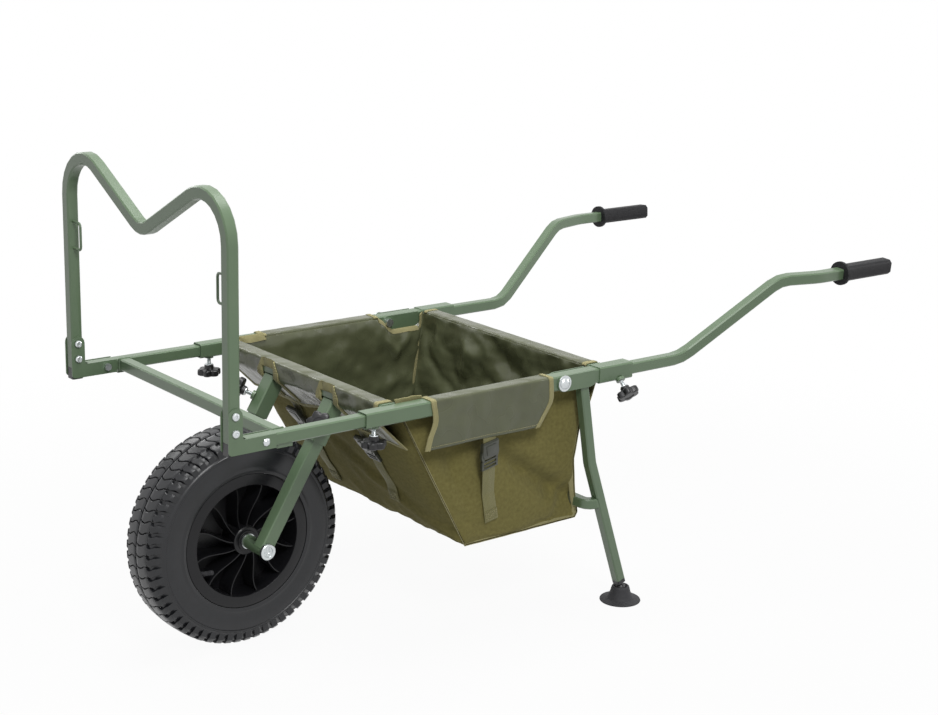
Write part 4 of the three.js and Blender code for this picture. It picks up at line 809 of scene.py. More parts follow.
class TROLLEY_OT_metalwork(bpy.types.Operator):
    """Finishes the painted tubes, the zinc bolts and the plastic caps"""
    bl_idname = "trolley.metalwork"
    bl_label = "Metalwork"

    def execute(self, context):
        for node, slot in SLOTS.items():
            if node == "axle_bolt":
                self.axle_bolt(node)
            elif node.startswith("post_bolts"):
                self.post_bolts(node)
            elif slot in ("green_paint", "zinc_plate") or node.startswith(("post_cap", "leg_plug")):
                dressed(node, slot)
        return {"FINISHED"}

    def shown(self, node, meshes):
        """The turned meshes of a zinc-plated bolt, joined and shown in place of its node."""
        made = linked(node + "_turned", merged(node, meshes), frame["nodes"][node]["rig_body"], SLOTS[node],
                      finish("zinc_plate"))
        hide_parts(node)

    def post_bolts(self, node):
        """The two bolts that hold a post to its bracket, with low round heads and small sockets."""
        low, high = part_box(node)
        length = (high.y - low.y) / MM
        middle = (low.x + high.x) / 2
        radius = (high.x - low.x) / 2
        head = [(0, 1.4), (2.2, 1.4), (2.6, 0.3), (4.4, 0.1), (6.2, 0.9), (7, 2.4), (7, 3.8), (3, 3.8)]
        profile = head + [(r, length - along) for r, along in reversed(head)]
        self.shown(node, [turned(node, profile, Vector((middle, low.y, z)), (0, 1, 0), 32, 30)
                          for z in (low.z + radius, high.z - radius)])

    def axle_bolt(self, node):
        """The axle: a flat head with a sunk face and radial marks, a plain shank and a hexagon nut."""
        low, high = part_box(node)
        end = Vector((WHEEL.x, low.y, WHEEL.z))
        length = (high.y - low.y) / MM
        shank = 7.9
        head = [(0, 2), (8.8, 2), (9.6, 0.5), (11, 0), (14, 0), (15, 1), (15, 6.5), (shank, 6.5),
                (shank, length - 0.8), (7.2, length), (0, length)]
        nut = [(shank, length - 10), (13, length - 10), (13, length - 2.4), (12, length - 1.8),
               (shank, length - 1.8), (shank, length - 10)]
        parts = [turned(node, head, end, (0, 1, 0), 48, 30), turned(node, nut, end, (0, 1, 0), 6, 20)]
        parts += [self.mark(node, end, math.pi * count / 3) for count in range(6)]
        self.shown(node, parts)

    def mark(self, node, end, angle):
        """One raised mark on the head's sunk face, from near the middle outwards."""
        start, stop, half, top, bottom = 3, 8, 0.7, 1.1, 2.4
        out = Vector((math.cos(angle), 0, math.sin(angle)))
        across = Vector((-out.z, 0, out.x))
        corners = ((start, -half), (stop, -half), (stop, half), (start, half))
        places = [end + (out * a + across * b + Vector((0, c, 0))) * MM
                  for c in (top, bottom) for a, b in corners]
        faces = [(0, 1, 2, 3), (4, 5, 6, 7), (0, 1, 5, 4), (1, 2, 6, 5), (2, 3, 7, 6), (3, 0, 4, 7)]
        return mesh_of(node, places, faces, 20)


def square_loop(x, y, z, half):
    """A closed square of places round a tube that runs along Y."""
    corners = [(-half, -half), (half, -half), (half, half), (-half, half), (-half, -half)]
    return dense([at(x + a, y, z + b) for a, b in corners], 3)


class TROLLEY_OT_welds(bpy.types.Operator):
    """Lays weld beads where the frame's tubes meet"""
    bl_idname = "trolley.welds"
    bl_label = "Welds"

    def execute(self, context):
        bead_sink, rear_gap, extension_sink = 0.6, 1.8, 0.4
        inner = RAIL_Y - RAIL_TUBE / 2 - bead_sink
        lines = [square_loop(CROSSBAR_X, side * inner, RAIL_Z, RAIL_TUBE / 2) for side in (-1, 1)]
        lines += [square_loop(REAR_CROSSBAR_X, side * (inner - rear_gap), RAIL_Z, RAIL_TUBE / 2)
                  for side in (-1, 1)]
        welded("weld_beads_frame", lines, "frame")
        low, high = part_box("front_crossbar")
        middle = (low + high) / 2
        x = (middle.x - WHEEL.x) / MM
        edge = high.y / MM - extension_sink
        lines = [square_loop(x, side * edge, middle.z / MM, SLIDE_TUBE / 2) for side in (-1, 1)]
        welded("weld_beads_extension", lines, "front_extension")
        return {"FINISHED"}


# The tread in millimetres: half its width, the drop to its edge, and where and how far its shoulder falls.
TREAD_HALF = 50.0
CROWN_DROP = 4.0
SHOULDER_SHARE = 0.72
SHOULDER_DROP = 54.0


def crown(across):
    """Radius of the tread surface at a distance across the tyre, in millimetres."""
    share = abs(across) / TREAD_HALF
    return TYRE_RADIUS - CROWN_DROP * share ** 2 - SHOULDER_DROP * max(0.0, share - SHOULDER_SHARE) ** 1.5


def on_tyre(angle, across, radius):
    """A place in metres at an angle from the wheel's top, and millimetres across and out from its middle."""
    return WHEEL + Vector((math.sin(angle) * radius, across, math.cos(angle) * radius)) * MM


def tread_block(side, pitch, inner, outer, gap, depth, bow, rows, offset, flare=0.0):
    """One tread block between two distances across the tyre, its ends bowed, its top on the crown."""
    edge_share, edge_drop, end_tuck = 0.056, 1.0, 0.8
    half = pitch / 2 - gap / 2 / TYRE_RADIUS
    soft = edge_share * pitch
    places = []
    for i in range(rows + 1):
        t = i / rows
        across = inner + (outer - inner) * t
        middle = bow * math.sin(t * math.pi * 1.6) + offset * pitch
        top = crown(across)
        tuck = end_tuck if i in (0, rows) else 0.0
        foot = top - depth - flare * max(0.0, t - 0.45)
        for angle, radius in ((-half, foot), (-half, top - edge_drop), (-half + soft, top - tuck),
                              (half - soft, top - tuck), (half, top - edge_drop), (half, foot)):
            places.append(on_tyre(middle + angle, side * across, radius))
    return mesh_of("block", places, tube_faces(rows + 1, 6), 30)


class TROLLEY_OT_wheel(bpy.types.Operator):
    """Makes the pneumatic tyre with its tread, the ribbed rim, the hub and the valve"""
    bl_idname = "trolley.wheel"
    bl_label = "Wheel"

    def execute(self, context):
        sizes = context.scene.trolley_wheel
        self.tyre(sizes)
        self.rim(sizes)
        return {"FINISHED"}

    def tyre(self, sizes):
        """The carcass in one turning, with two rows of tread blocks on each side of the middle."""
        depth = sizes.depth / MM
        wall = [(129.2, 44.5), (129.2, 49.6), (131, 50.8), (133, 50.6), (134, 51.4), (136, 51.5),
                (137, 50.9), (143, 51.7), (150, 52.6), (157, 53), (164, 52.8), (171, 51.9), (172, 53.0),
                (175, 52.8), (176, 51.0), (180, 49.6), (184, 47.4), (187.5, 44.5)]
        crest = [(crown(y) - depth, y) for y in (42, 38, 34, 28, 20, 10, 3)]
        half = wall + crest
        profile = half + [(r, -y) for r, y in reversed(half)] + [half[0]]
        carcass = turned("tyre_carcass", profile, WHEEL, (0, 1, 0), 144, 50)
        made = linked("tyre_carcass", carcass, "wheel", "tyre_rubber", finish("tyre_rubber"))
        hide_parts("tyre")
        pitch = 2 * math.pi / sizes.blocks
        gap = sizes.groove / MM
        blocks = []
        for side in (-1, 1):
            shift = 0.25 * side
            blocks.append(tread_block(side, pitch, inner=1.2, outer=33.5, gap=gap, depth=depth + 0.5,
                                      bow=0.02 * side, rows=9, offset=shift))
            blocks.append(tread_block(side, pitch, inner=34.1, outer=50.2, gap=gap * 4.1, depth=depth + 2.0,
                                      bow=0.012 * side, rows=8, offset=shift + 0.2, flare=18.0))
        values = {"Count": sizes.blocks, "Centre": WHEEL}
        grown("tyre_tread", merged("tyre_tread", blocks), ring_of_copies, values, "wheel",
              "tyre_rubber")

    def rim(self, sizes):
        """The moulded rim: hub, web, barrel and flanges in one turning, its curved ribs, and the valve."""
        half = [(8.3, 50), (19, 50), (19.5, 49.5), (19.5, 47), (25, 47), (27, 45.5), (28, 3), (32, 2),
                (107, 2), (106.5, 44), (106.8, 49), (107.6, 50), (126, 50), (128, 49.2), (128.5, 47),
                (126, 45.5), (117, 42), (113, 38)]
        profile = half + [(r, -y) for r, y in reversed(half)] + [half[0]]
        body = turned("rim_shell", profile, WHEEL, (0, 1, 0), 96, 35)
        made = linked("rim_shell", body, "wheel", "black_plastic", finish("rim_plastic"))
        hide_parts("rim")
        values = {"Count": sizes.ribs, "Centre": WHEEL}
        grown("rim_ribs", self.rib(), ring_of_copies, values, "wheel", "rim_plastic")
        self.valve()

    def rib(self):
        """One rib that curves from the hub to the barrel, thickest in the middle plane."""
        hub, barrel, sweep, reach, waist = 26, 107.5, 0.34, 44.5, 3.5
        steps, rows = 12, 5
        places, faces = [], []
        for i in range(steps + 1):
            t = i / steps
            angle = sweep * math.sin(t * math.pi * 0.62)
            radius = hub + (barrel - hub) * t
            wide = reach - waist * math.sin(math.pi * t)
            for share, half_thick in ((-1, 0.9), (-0.55, 1.5), (0, 1.8), (0.55, 1.5), (1, 0.9)):
                for sign in (-1, 1):
                    places.append(on_tyre(angle + sign * half_thick / radius, wide * share, radius))
        for i in range(steps):
            for j in range(rows - 1):
                for sign in (0, 1):
                    a = (i * rows + j) * 2 + sign
                    b = ((i + 1) * rows + j) * 2 + sign
                    faces.append((a, a + 2, b + 2, b))
            for j in (0, rows - 1):
                a, b = (i * rows + j) * 2, ((i + 1) * rows + j) * 2
                faces.append((a, a + 1, b + 1, b))
        for i in (0, steps):
            for j in range(rows - 1):
                a = (i * rows + j) * 2
                faces.append((a, a + 1, a + 3, a + 2))
        return mesh_of("rib", places, faces, 35)

    def valve(self):
        """The rubber valve stem, which leans out of the barrel on the near side."""
        angle = math.radians(-118)
        foot = on_tyre(angle, -34, 106)
        ahead = (on_tyre(angle, -58, 88) - foot).normalized()
        stem = [(0, 0), (6.5, 0), (6.5, 3), (4.6, 6), (4.2, 17), (3.6, 18), (3.6, 19), (4.4, 19.5),
                (4.4, 27), (3.4, 28.4), (0, 28.4)]
        valve = turned("tyre_valve", stem, foot, ahead, 20, 35)
        linked("tyre_valve", valve, "wheel", "tyre_rubber", finish("black_rubber"))


# The knobs' outline in millimetres: its radius over the lobes, and how far it dips between them.
KNOB_LOBES = 6
KNOB_RADIUS = 23.5
KNOB_DIP = 5.2


def star(angle):
    """Radius of a knob's outline at an angle."""
    wave = 0.5 + 0.5 * math.cos(KNOB_LOBES * angle)
    return KNOB_RADIUS - KNOB_DIP * (1 - wave ** 0.7)


class TROLLEY_OT_knobs(bpy.types.Operator):
    """Makes the six clamping knobs and their threaded studs"""
    bl_idname = "trolley.knobs"
    bl_label = "Clamping knobs"

    def execute(self, context):
        joints = {joint["child"]: joint for joint in frame["joints"]}
        for name in SLOTS:
            if not name.startswith("knob_"):
                continue
            joint = joints[name]
            axis = Vector(joint["axis"])
            anchor = Vector(joint["pos_m"])
            reach = [(vertex.co - anchor).dot(axis) / MM for vertex in frame["nodes"][name].data.vertices]
            self.knob(name, anchor, axis, min(reach), max(reach))
        return {"FINISHED"}

    def knob(self, name, anchor, axis, low, top):
        """The moulded knob over its joint's axis, from the hub out over the rim and back over the crown."""
        side = axis.orthogonal().normalized()
        other = axis.cross(side)
        # Each row is (along the axis, share of the star outline, round radius).
        rows = [(top - 21, None, 6.5), (top - 21, None, 9), (top - 14.5, None, 9.5),
                (top - 13.4, 0.55, None), (top - 13, 0.9, None), (top - 11.5, 0.98, None),
                (top - 4, 1.0, None), (top - 1.6, 0.965, None), (top - 0.3, 0.86, None), (top, 0.7, None),
                (top, None, 10.5), (top - 1.2, None, 9.6), (top - 1.2, None, 4)]
        segments = 72
        places = []
        for along, share, radius in rows:
            for step in range(segments):
                angle = 2 * math.pi * step / segments
                reach = radius if share is None else share * star(angle)
                out = side * math.cos(angle) + other * math.sin(angle)
                places.append(anchor + (axis * along + out * reach) * MM)
        mesh = mesh_of(name, places, tube_faces(len(rows), segments), 38)
        made = linked(name + "_cap", mesh, name, "black_plastic", finish("black_plastic"))
        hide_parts(name)
        self.stud(name, anchor, axis, low + 0.2, top)

    def stud(self, name, anchor, axis, low, top):
        """The threaded stud, and the collar that it is moulded in by."""
        root, crest, pitch = 3.5, 3.95, 1.25
        thread = [(0, low)]
        along = low
        while along < top - 20.6:
            thread += [(root, along), (crest, along + 0.6)]
            along += pitch
        thread += [(root, top - 20.4), (0, top - 20.4)]
        collar = [(3.4, top - 23.5), (7.6, top - 23.5), (8, top - 23), (8, top - 21.5), (3.4, top - 21.5),
                  (3.4, top - 23.5)]
        stud = merged(name + "_stud", [turned("thread", thread, anchor, axis, 24, 25),
                                       turned("collar", collar, anchor, axis, 28, 30)])
        linked(name + "_stud", stud, name, "zinc_plate", finish("zinc_plate"))


class TROLLEY_OT_grips(bpy.types.Operator):
    """Makes the two hand grips"""
    bl_idname = "trolley.grips"
    bl_label = "Grips"

    def execute(self, context):
        for name in ("grip_left", "grip_right"):
            made = dressed(name, "grip_rubber", 40)
            made.name = name + "_sleeve"
        return {"FINISHED"}


class TROLLEY_OT_feet(bpy.types.Operator):
    """Makes the two mud feet with their ribbed soles"""
    bl_idname = "trolley.feet"
    bl_label = "Feet"

    def execute(self, context):
        joints = {joint["child"]: joint for joint in frame["joints"]}
        for name in ("foot_left", "foot_right"):
            low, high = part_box(name)
            pivot = Vector(joints[name]["pos_m"])
            base = Vector((pivot.x, pivot.y, low.z))
            top = (high.z - low.z) / MM
            profile = [(0, 1.0), (30, 1.0), (31, 0), (34, 0), (35, 1), (38, 1), (38.8, 0), (40.6, 0.2),
                       (41, 1.2), (40.4, 2.6), (37, 3.4), (29, 4.4), (26.6, 5.6), (25.4, 8), (24.6, 9),
                       (23.6, 12), (20.4, 18), (18.4, top - 5), (17.2, top - 1.4), (15.6, top),
                       (13.6, top - 0.6), (13, top - 2.5), (12.2, top - 5), (0, top - 5)]
            mesh = turned(name, profile, base, (0, 0, 1), 64, 35)
            made = linked(name + "_rubber", mesh, name, "black_rubber", finish("black_rubber"))
            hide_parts(name)
        return {"FINISHED"}


def bag_rear(z):
    """How far back the bag's rear wall is at a height."""
    line = [(186, 617), (192, 622), (200, 623), (216, 618), (236, 613.5), (260, 610), (309.5, 604.5),
            (465.5, BAG_REAR), (600, BAG_REAR)]
    return float(np.interp(z, [p[0] for p in line], [p[1] for p in line]))


def bag_front(z):
    """How far back the bag's sloping front wall is at a height."""
    return float(np.interp(z, [BAG_BOTTOM, BAG_TOP], [BAG_TOE, BAG_FRONT]))


def along_bag(z, share):
    """How far back a place is at a height, from the front wall at share 0 to the rear wall at 1."""
    return bag_front(z) + (bag_rear(z) - bag_front(z)) * share


def bag_half(z):
    """Half the bag's width at a height."""
    return BAG_HALF - 10 * max(0.0, (BAG_TOP - z) / (BAG_TOP - BAG_BOTTOM))


def side_top(x):
    """Height of the side panel's top edge: cut away behind the flap, up again at the rear corner."""
    if x <= FLAP_REAR or x > REAR_CORNER:
        return BAG_TOP
    share = min(1.0, (x - FLAP_REAR) / SCOOP_RUN)
    return BAG_TOP - SCOOP_DEPTH * share * share * (3 - 2 * share)


class Cloth:
    """The sewn cloth of the bag: panels joined where they share a place, with a number for every corner."""

    def __init__(self):
        self.places = []
        self.lookup = {}
        self.quads = []

    def vertex(self, place):
        key = tuple(round(c, 1) for c in place)
        if key not in self.lookup:
            self.lookup[key] = len(self.places)
            self.places.append(tuple(place))
        return self.lookup[key]

    def panel(self, grid, skip=lambda i, j: False):
        """Adds a grid of places as quads, and gives their numbers."""
        numbers = [[self.vertex(p) for p in row] for row in grid]
        for i in range(len(numbers) - 1):
            for j in range(len(numbers[0]) - 1):
                if skip(i, j):
                    continue
                a, b, c, d = numbers[i][j], numbers[i + 1][j], numbers[i + 1][j + 1], numbers[i][j + 1]
                if len({a, b, c, d}) == 4:
                    self.quads.append((a, b, c, d))
        return numbers

    def mesh(self, name):
        """The cloth as one mesh, its woven face outwards."""
        mesh = bpy.data.meshes.new(name)
        mesh.from_pydata([tuple(at(*p)) for p in self.places], [], self.quads)
        shell = bmesh.new()
        shell.from_mesh(mesh)
        bmesh.ops.recalc_face_normals(shell, faces=shell.faces)
        low = min(shell.faces, key=lambda f: f.calc_center_median().z)
        if low.normal.z > 0:
            bmesh.ops.reverse_faces(shell, faces=shell.faces)
        shell.to_mesh(mesh)
        shell.free()
        return mesh


def marks(stops, cell):
    """Positions that keep every stop and are no further apart than a cell."""
    line = [stops[0]]
    for a, b in zip(stops, stops[1:]):
        count = max(1, round(abs(b - a) / cell))
        line += [a + (b - a) * i / count for i in range(1, count + 1)]
    return line


def over_bar(inner, outer, top, bottom, bend=4.0):
    """A line up one face of a square tube, over its top and down the other face, with rounded corners."""
    side = 1 if outer > inner else -1
    line = [(inner, top - bend)]
    for i in range(1, 4):
        a = math.pi / 2 * i / 3
        line.append((inner + side * bend * (1 - math.cos(a)), top - bend + bend * math.sin(a)))
    span = abs(outer - inner) - 2 * bend
    line += [(inner + side * (bend + span * share), top) for share in (0.33, 0.66)]
    for i in range(0, 4):
        a = math.pi / 2 * i / 3
        line.append((outer - side * bend * (1 - math.sin(a)), top - bend + bend * math.cos(a)))
    count = max(1, round((top - bend - bottom) / 9))
    line += [(outer, top - bend - (top - bend - bottom) * i / count) for i in range(1, count + 1)]
    return line


def to_hem(foot, hem, cell):
    """The straight rest of a flap's profile, from where it leaves the tube to its hem."""
    count = max(2, round(math.dist(foot, hem) / cell))
    return [(foot[0] + (hem[0] - foot[0]) * i / count, foot[1] + (hem[1] - foot[1]) * i / count)
            for i in range(1, count + 1)]


def tape_over(name, chains, width, wobble=0.0, thickness=1.5):
    """Binding tape folded over free edges. A chain is a list of (edge place, inward direction, normal)."""
    meshes = []
    thick = thickness * MM
    for chain in chains:
        places, uvs = [], []
        run = 0.0
        for n, (edge, inward, normal) in enumerate(chain):
            w = width * (1 + 0.08 * wobble * noise.noise(edge * 230))
            shift = normal * noise.noise(edge * 160) - inward * abs(noise.noise(edge * 95)) * 0.8
            edge = edge + shift * wobble * MM
            ring = [(w, 0.8), (w * 0.5, 1.1), (0.0008, 1.0), (-0.0012, 0.5), (-0.0012, -0.5),
                    (0.0008, -1.0), (w * 0.5, -1.1), (w, -0.8)]
            places += [edge + inward * a + normal * b * thick for a, b in ring]
            uvs += [(j / len(ring) * 2 * width, run) for j in range(len(ring))]
            if n + 1 < len(chain):
                run += (chain[n + 1][0] - edge).length
        meshes.append(mesh_of(name, places, tube_faces(len(chain), len(ring)), 50, uvs))
    return linked(name, merged(name, meshes), "frame", "webbing", finish("tape"))


# Creases of the settled bag: start and end in millimetres behind the axle, height and half width.
CREASES = (
    ((262, 40, 328), (338, -250, 200), 22.0, 14),
    ((240, 60, 362), (330, -250, 226), -14.0, 16),
    ((286, -150, 282), (312, -246, 262), 5.0, 7),
    ((300, -165, 258), (322, -248, 240), 6.0, 8),
    ((395, -262, 365), (625, -255, 215), -30.0, 28),
    ((285, -262, 400), (352, -258, 240), -10.0, 16),
    ((588, -262, 450), (598, -258, 310), 12.0, 17),
    ((440, -262, 385), (640, -258, 268), 20.0, 26),
    ((360, -262, 315), (560, -258, 200), 14.0, 20),
    ((504, 256, 465), (568, 256, 405), -24.0, 12),
    ((604, 256, 460), (540, 256, 388), -24.0, 12),
    ((470, 256, 452), (530, 256, 372), -19.0, 12),
    ((556, 256, 415), (598, 256, 318), -22.0, 12),
    ((585, 256, 372), (520, 256, 330), -18.0, 11),
    ((530, 256, 398), (410, 256, 296), -11.0, 15),
    ((390, 256, 452), (440, 256, 380), -9.0, 13),
    ((330, 256, 455), (372, 256, 385), -8.0, 14),
    ((608, 190, 475), (600, 120, 330), -15.0, 13),
    ((608, 60, 465), (600, -60, 370), -11.0, 15),
    ((608, -110, 470), (602, -190, 390), -10.0, 13),
)


def ridge(place, size):
    """Sharp-topped crumples of a size in millimetres, from 0 to 1."""
    return (1 - min(1.0, abs(noise.noise(place / (size * MM))) * 2)) ** 2


def crease(place, start, end, height, width):
    """Height of one crease at a place: highest on its line, fading at both ends."""
    start, end = Vector(start), Vector(end)
    run = end - start
    share = (place - start).dot(run) / run.length_squared
    away = (place - start - run * min(1.0, max(0.0, share))).length
    taper = math.sin(math.pi * min(1.0, max(0.0, 0.1 + 0.8 * share)))
    return height * taper / (1 + (away / width) ** 2) ** 2


class TROLLEY_OT_bag(bpy.types.Operator):
    """Cuts, sews and settles the bag, with its flaps, piping, binding and stitches"""
    bl_idname = "trolley.bag"
    bl_label = "Bag"

    def execute(self, context):
        sizes = context.scene.trolley_bag
        cell = sizes.cell / MM
        cloth = Cloth()
        self.cut_tub(cloth, cell)
        self.cut_side_flaps(cloth)
        self.cut_end_flaps(cloth, cell)
        mesh = cloth.mesh("bag_cloth")
        self.unwrap(mesh)
        hung = {n for grid in (self.front, self.rear, self.flaps[-1], self.flaps[1]) for row in grid
                for n in row}
        areas = {True: 0.0, False: 0.0}
        for face in mesh.polygons:
            areas[all(n in hung for n in face.vertices)] += face.area
        held = hung | self.seams()
        made = placed("bag_cloth", mesh)
        self.settle(made, held, sizes)
        self.soften(mesh, held)
        self.places = [v.co.copy() for v in mesh.vertices]
        self.normals = [v.normal.copy() for v in mesh.vertices]
        self.bind_seams()
        self.bind_edges(context.scene.trolley_trim)
        wraps = placed("bag_wraps", mesh.copy())
        for piece, kept in ((made, False), (wraps, True)):
            shell = bmesh.new()
            shell.from_mesh(piece.data)
            loose = [face for face in shell.faces if all(v.index in hung for v in face.verts) != kept]
            bmesh.ops.delete(shell, geom=loose, context="FACES")
            shell.to_mesh(piece.data)
            shell.free()
            self.thicken(piece, sizes)
        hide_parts("bag_tub")
        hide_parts("bag_flap_left", "bag_flap_right", "bag_flap_front", "bag_flap_rear")
        return {"FINISHED"}

    def cut_tub(self, cloth, cell):
        """Two side panels, and one belt down the front, along the bottom and up the rear."""
        heights = marks(TUB_HEIGHTS, cell)
        stops = (BAG_FRONT, FLAP_FRONT, FLAP_REAR, FLAP_REAR + SCOOP_RUN, REAR_CORNER, BAG_REAR)
        columns = marks(stops, cell)
        shares = [(x - columns[0]) / (columns[-1] - columns[0]) for x in columns]
        windows = [side * FORK_SPACING + edge * WINDOW_HALF for side in (-1, 1) for edge in (-1, 1)]
        self.columns = columns
        self.widths = marks((-BAG_HALF, -WRAP_HALF, *windows, WRAP_HALF, BAG_HALF), cell)
        self.sides = {}
        for side in (-1, 1):
            grid = []
            for z in heights:
                drop = (BAG_TOP - z) / (BAG_TOP - BAG_BOTTOM)
                row = []
                for x, share in zip(columns, shares):
                    height = side_top(x) + (BAG_BOTTOM - side_top(x)) * drop
                    row.append((along_bag(height, share), side * bag_half(height), height))
                grid.append(row)
            self.sides[side] = cloth.panel(grid)
        line = [(bag_front(z), z) for z in heights]
        line += [(along_bag(BAG_BOTTOM, share), BAG_BOTTOM) for share in shares[1:-1]]
        line += [(bag_rear(z), z) for z in reversed(heights)]
        belt = [[(x, y * bag_half(z) / BAG_HALF, z) for y in self.widths] for x, z in line]
        self.belt = cloth.panel(belt)
        self.toe = len(heights) - 1
        self.heel = self.toe + len(shares) - 1

    def seams(self):
        """Corners that stay put: the rims, the seams, and the bottom's front and rear edges."""
        held = {n for side in (-1, 1) for n in self.sides[side][0]} | set(self.belt[0]) | set(self.belt[-1])
        held |= {row[edge] for row in self.belt for edge in (0, -1)}
        return held | set(self.belt[self.toe]) | set(self.belt[self.heel])

    def cut_side_flaps(self, cloth):
        """The side flaps: over the rail and down its outer face to a hem, between curved ends."""
        first = self.columns.index(FLAP_FRONT)
        last = self.columns.index(FLAP_REAR)
        below = RAIL_Z - RAIL_TUBE
        profile = [(BAG_HALF, BAG_TOP)]
        profile += over_bar(BAG_HALF + TUCK, RAIL_Y + WRAP_LIFT, RAIL_Z + WRAP_LIFT, FLAP_HEM)
        self.flaps = {}
        for side in (-1, 1):
            grid = []
            for y, z in profile:
                fall = max(0.0, (below - z) / (below - FLAP_HEM)) if y > RAIL_Y else 0.0
                bulge = math.sin(math.pi * min(1.0, max(0.0, (RAIL_Z + 8 - z) / 60))) if y > RAIL_Y else 0.0
                front = FLAP_FRONT + 5 * bulge - 12 * fall
                rear = FLAP_REAR + 2 * bulge - 30 * fall ** 1.2
                row = []
                for x in self.columns[first:last + 1]:
                    share = (x - FLAP_FRONT) / (FLAP_REAR - FLAP_FRONT)
                    lag = 1.6 * math.sin(x / 31 + side) * fall
                    row.append((front + (rear - front) * share, side * (y + lag), z))
                grid.append(row)
            self.flaps[side] = cloth.panel(grid)

    def cut_end_flaps(self, cloth, cell):
        """The front flap, drawn back under its tube and open round the fork sockets, and the rear one."""
        self.middle = [y for y in self.widths if abs(y) <= WRAP_HALF + 0.1]
        top, bottom = RAIL_Z + WRAP_LIFT, RAIL_Z - WRAP_LIFT - 1.5
        profile = [(BAG_FRONT, BAG_TOP)] + over_bar(BAG_FRONT - TUCK, CROSSBAR_X - WRAP_LIFT, top, bottom)
        foot = profile[-1]
        profile += to_hem(foot, FRONT_HEM, cell)
        grid = []
        for x, z in profile:
            fall = max(0.0, (foot[1] - z) / (foot[1] - FRONT_HEM[1]))
            row = []
            for y in self.middle:
                gather = 14 * fall * max(0.0, math.cos(y / WRAP_HALF * math.pi * 1.5)) ** 2
                row.append((x - gather * 0.6, y, z + gather))
            grid.append(row)

        def open_window(i, j):
            """Whether a square of the net is part of a window for a fork socket."""
            x, z = profile[i + 1]
            y = (self.middle[j] + self.middle[j + 1]) / 2
            beside = abs(abs(y) - FORK_SPACING) < WINDOW_HALF
            return beside and z < WINDOW_TOP and x < BAG_FRONT - 8 and i < len(profile) - 3

        self.front = cloth.panel(grid, open_window)
        line = [(BAG_REAR, BAG_TOP)] + over_bar(BAG_REAR + TUCK, REAR_CROSSBAR_X + WRAP_LIFT, top, bottom)
        line += to_hem(line[-1], REAR_HEM, cell)
        self.rear = cloth.panel([[(x, y, z) for y in self.middle] for x, z in line])

    def thicken(self, piece, sizes):
        """Gives a piece of the cloth its thickness, its woven face outside and its coated one inside."""
        wall = piece.modifiers.new("Thickness", "SOLIDIFY")
        wall.thickness = sizes.thickness
        wall.offset = 0.0
        wall.material_offset = 1
        wall.material_offset_rim = 1
        round_off = piece.modifiers.new("Round", "SUBSURF")
        round_off.levels = 1
        round_off.render_levels = 1
        piece.data.materials.append(finish("khaki_cloth"))
        piece.data.materials.append(finish("coated_cloth"))
        smoothed(piece.data, 180)
        applied(piece)
        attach(piece, "frame")

    def unwrap(self, mesh):
        """UVs in metres from each face's own plane, so the weave keeps its size on every panel."""
        layer = mesh.uv_layers.new(name="UVMap")
        for face in mesh.polygons:
            n = face.normal
            for corner in face.loop_indices:
                p = mesh.vertices[mesh.loops[corner].vertex_index].co
                if abs(n.y) > 0.7:
                    spot = (p.x, p.z)
                elif abs(n.z) > 0.85:
                    spot = (p.x, p.y)
                else:
                    spot = (p.y, p.z * 1.15)
                layer.data[corner].uv = spot

    def settle(self, made, held, sizes):
        """Lets the cloth, cut a little full, settle under its own weight between its sewn and hung edges."""
        mesh = made.data
        start = [v.co.copy() for v in mesh.vertices]
        group = made.vertex_groups.new(name="held")
        group.add(sorted(held), 1.0, "REPLACE")
        cloth = made.modifiers.new("Cloth", "CLOTH")
        cloth.settings.quality = 5
        cloth.settings.mass = 0.25
        cloth.settings.tension_stiffness = 20
        cloth.settings.compression_stiffness = 20
        cloth.settings.shear_stiffness = 8
        cloth.settings.bending_stiffness = 0.9
        cloth.settings.air_damping = 3
        cloth.settings.vertex_group_mass = "held"
        cloth.settings.shrink_min = -sizes.fullness
        cloth.collision_settings.use_collision = False
        cloth.point_cache.frame_start = 1
        cloth.point_cache.frame_end = sizes.frames
        scene = bpy.context.scene
        for step in range(1, sizes.frames + 1):
            scene.frame_set(step)
        shown = made.evaluated_get(bpy.context.evaluated_depsgraph_get())
        result = shown.to_mesh()
        moved = [v.co.copy() for v in result.vertices]
        shown.to_mesh_clear()
        made.modifiers.clear()
        made.vertex_groups.clear()
        scene.frame_set(1)
        for vertex, here, there in zip(mesh.vertices, start, moved):
            shift = there - here
            if shift.length > sizes.reach:
                beyond = math.tanh(shift.length / sizes.reach - 1)
                shift = shift.normalized() * sizes.reach * (1 + 0.25 * beyond)
            vertex.co = here + shift
        mesh.update()

    def soften(self, mesh, held):
        """Broad soft folds, stronger on the far side, and the few long creases that the load leaves."""
        mesh.update()
        normals = [v.normal.copy() for v in mesh.vertices]
        wheel = at(0, 0, 0)
        for vertex, normal in zip(mesh.vertices, normals):
            p = vertex.co
            if vertex.index in held:
                vertex.co = p + normal * noise.noise(p * 38) * 0.5 * MM
                continue
            # Heights of the folds are in millimetres, and the noise's scales are turns to a metre.
            depth = min(1.0, max(0.0, (BAG_TOP * MM - p.z) / 0.05))
            far = 0.5 + 0.5 * math.tanh((p.y + 0.14) / 0.07)
            fold = noise.noise(Vector((p.x * 9 + p.z * 7, p.y * 8, p.z * 6 - p.x * 5))) * (5.5 + 2.5 * far)
            fold += noise.noise(Vector((p.x * 24, p.y * 20 + 4, p.z * 17))) * (1.2 + far)
            fold += (ridge(p, 130) - 0.45) * (2.5 + 10.0 * far)
            fold += (ridge(p.yzx, 62) - 0.45) * (1.2 + 8.5 * far)
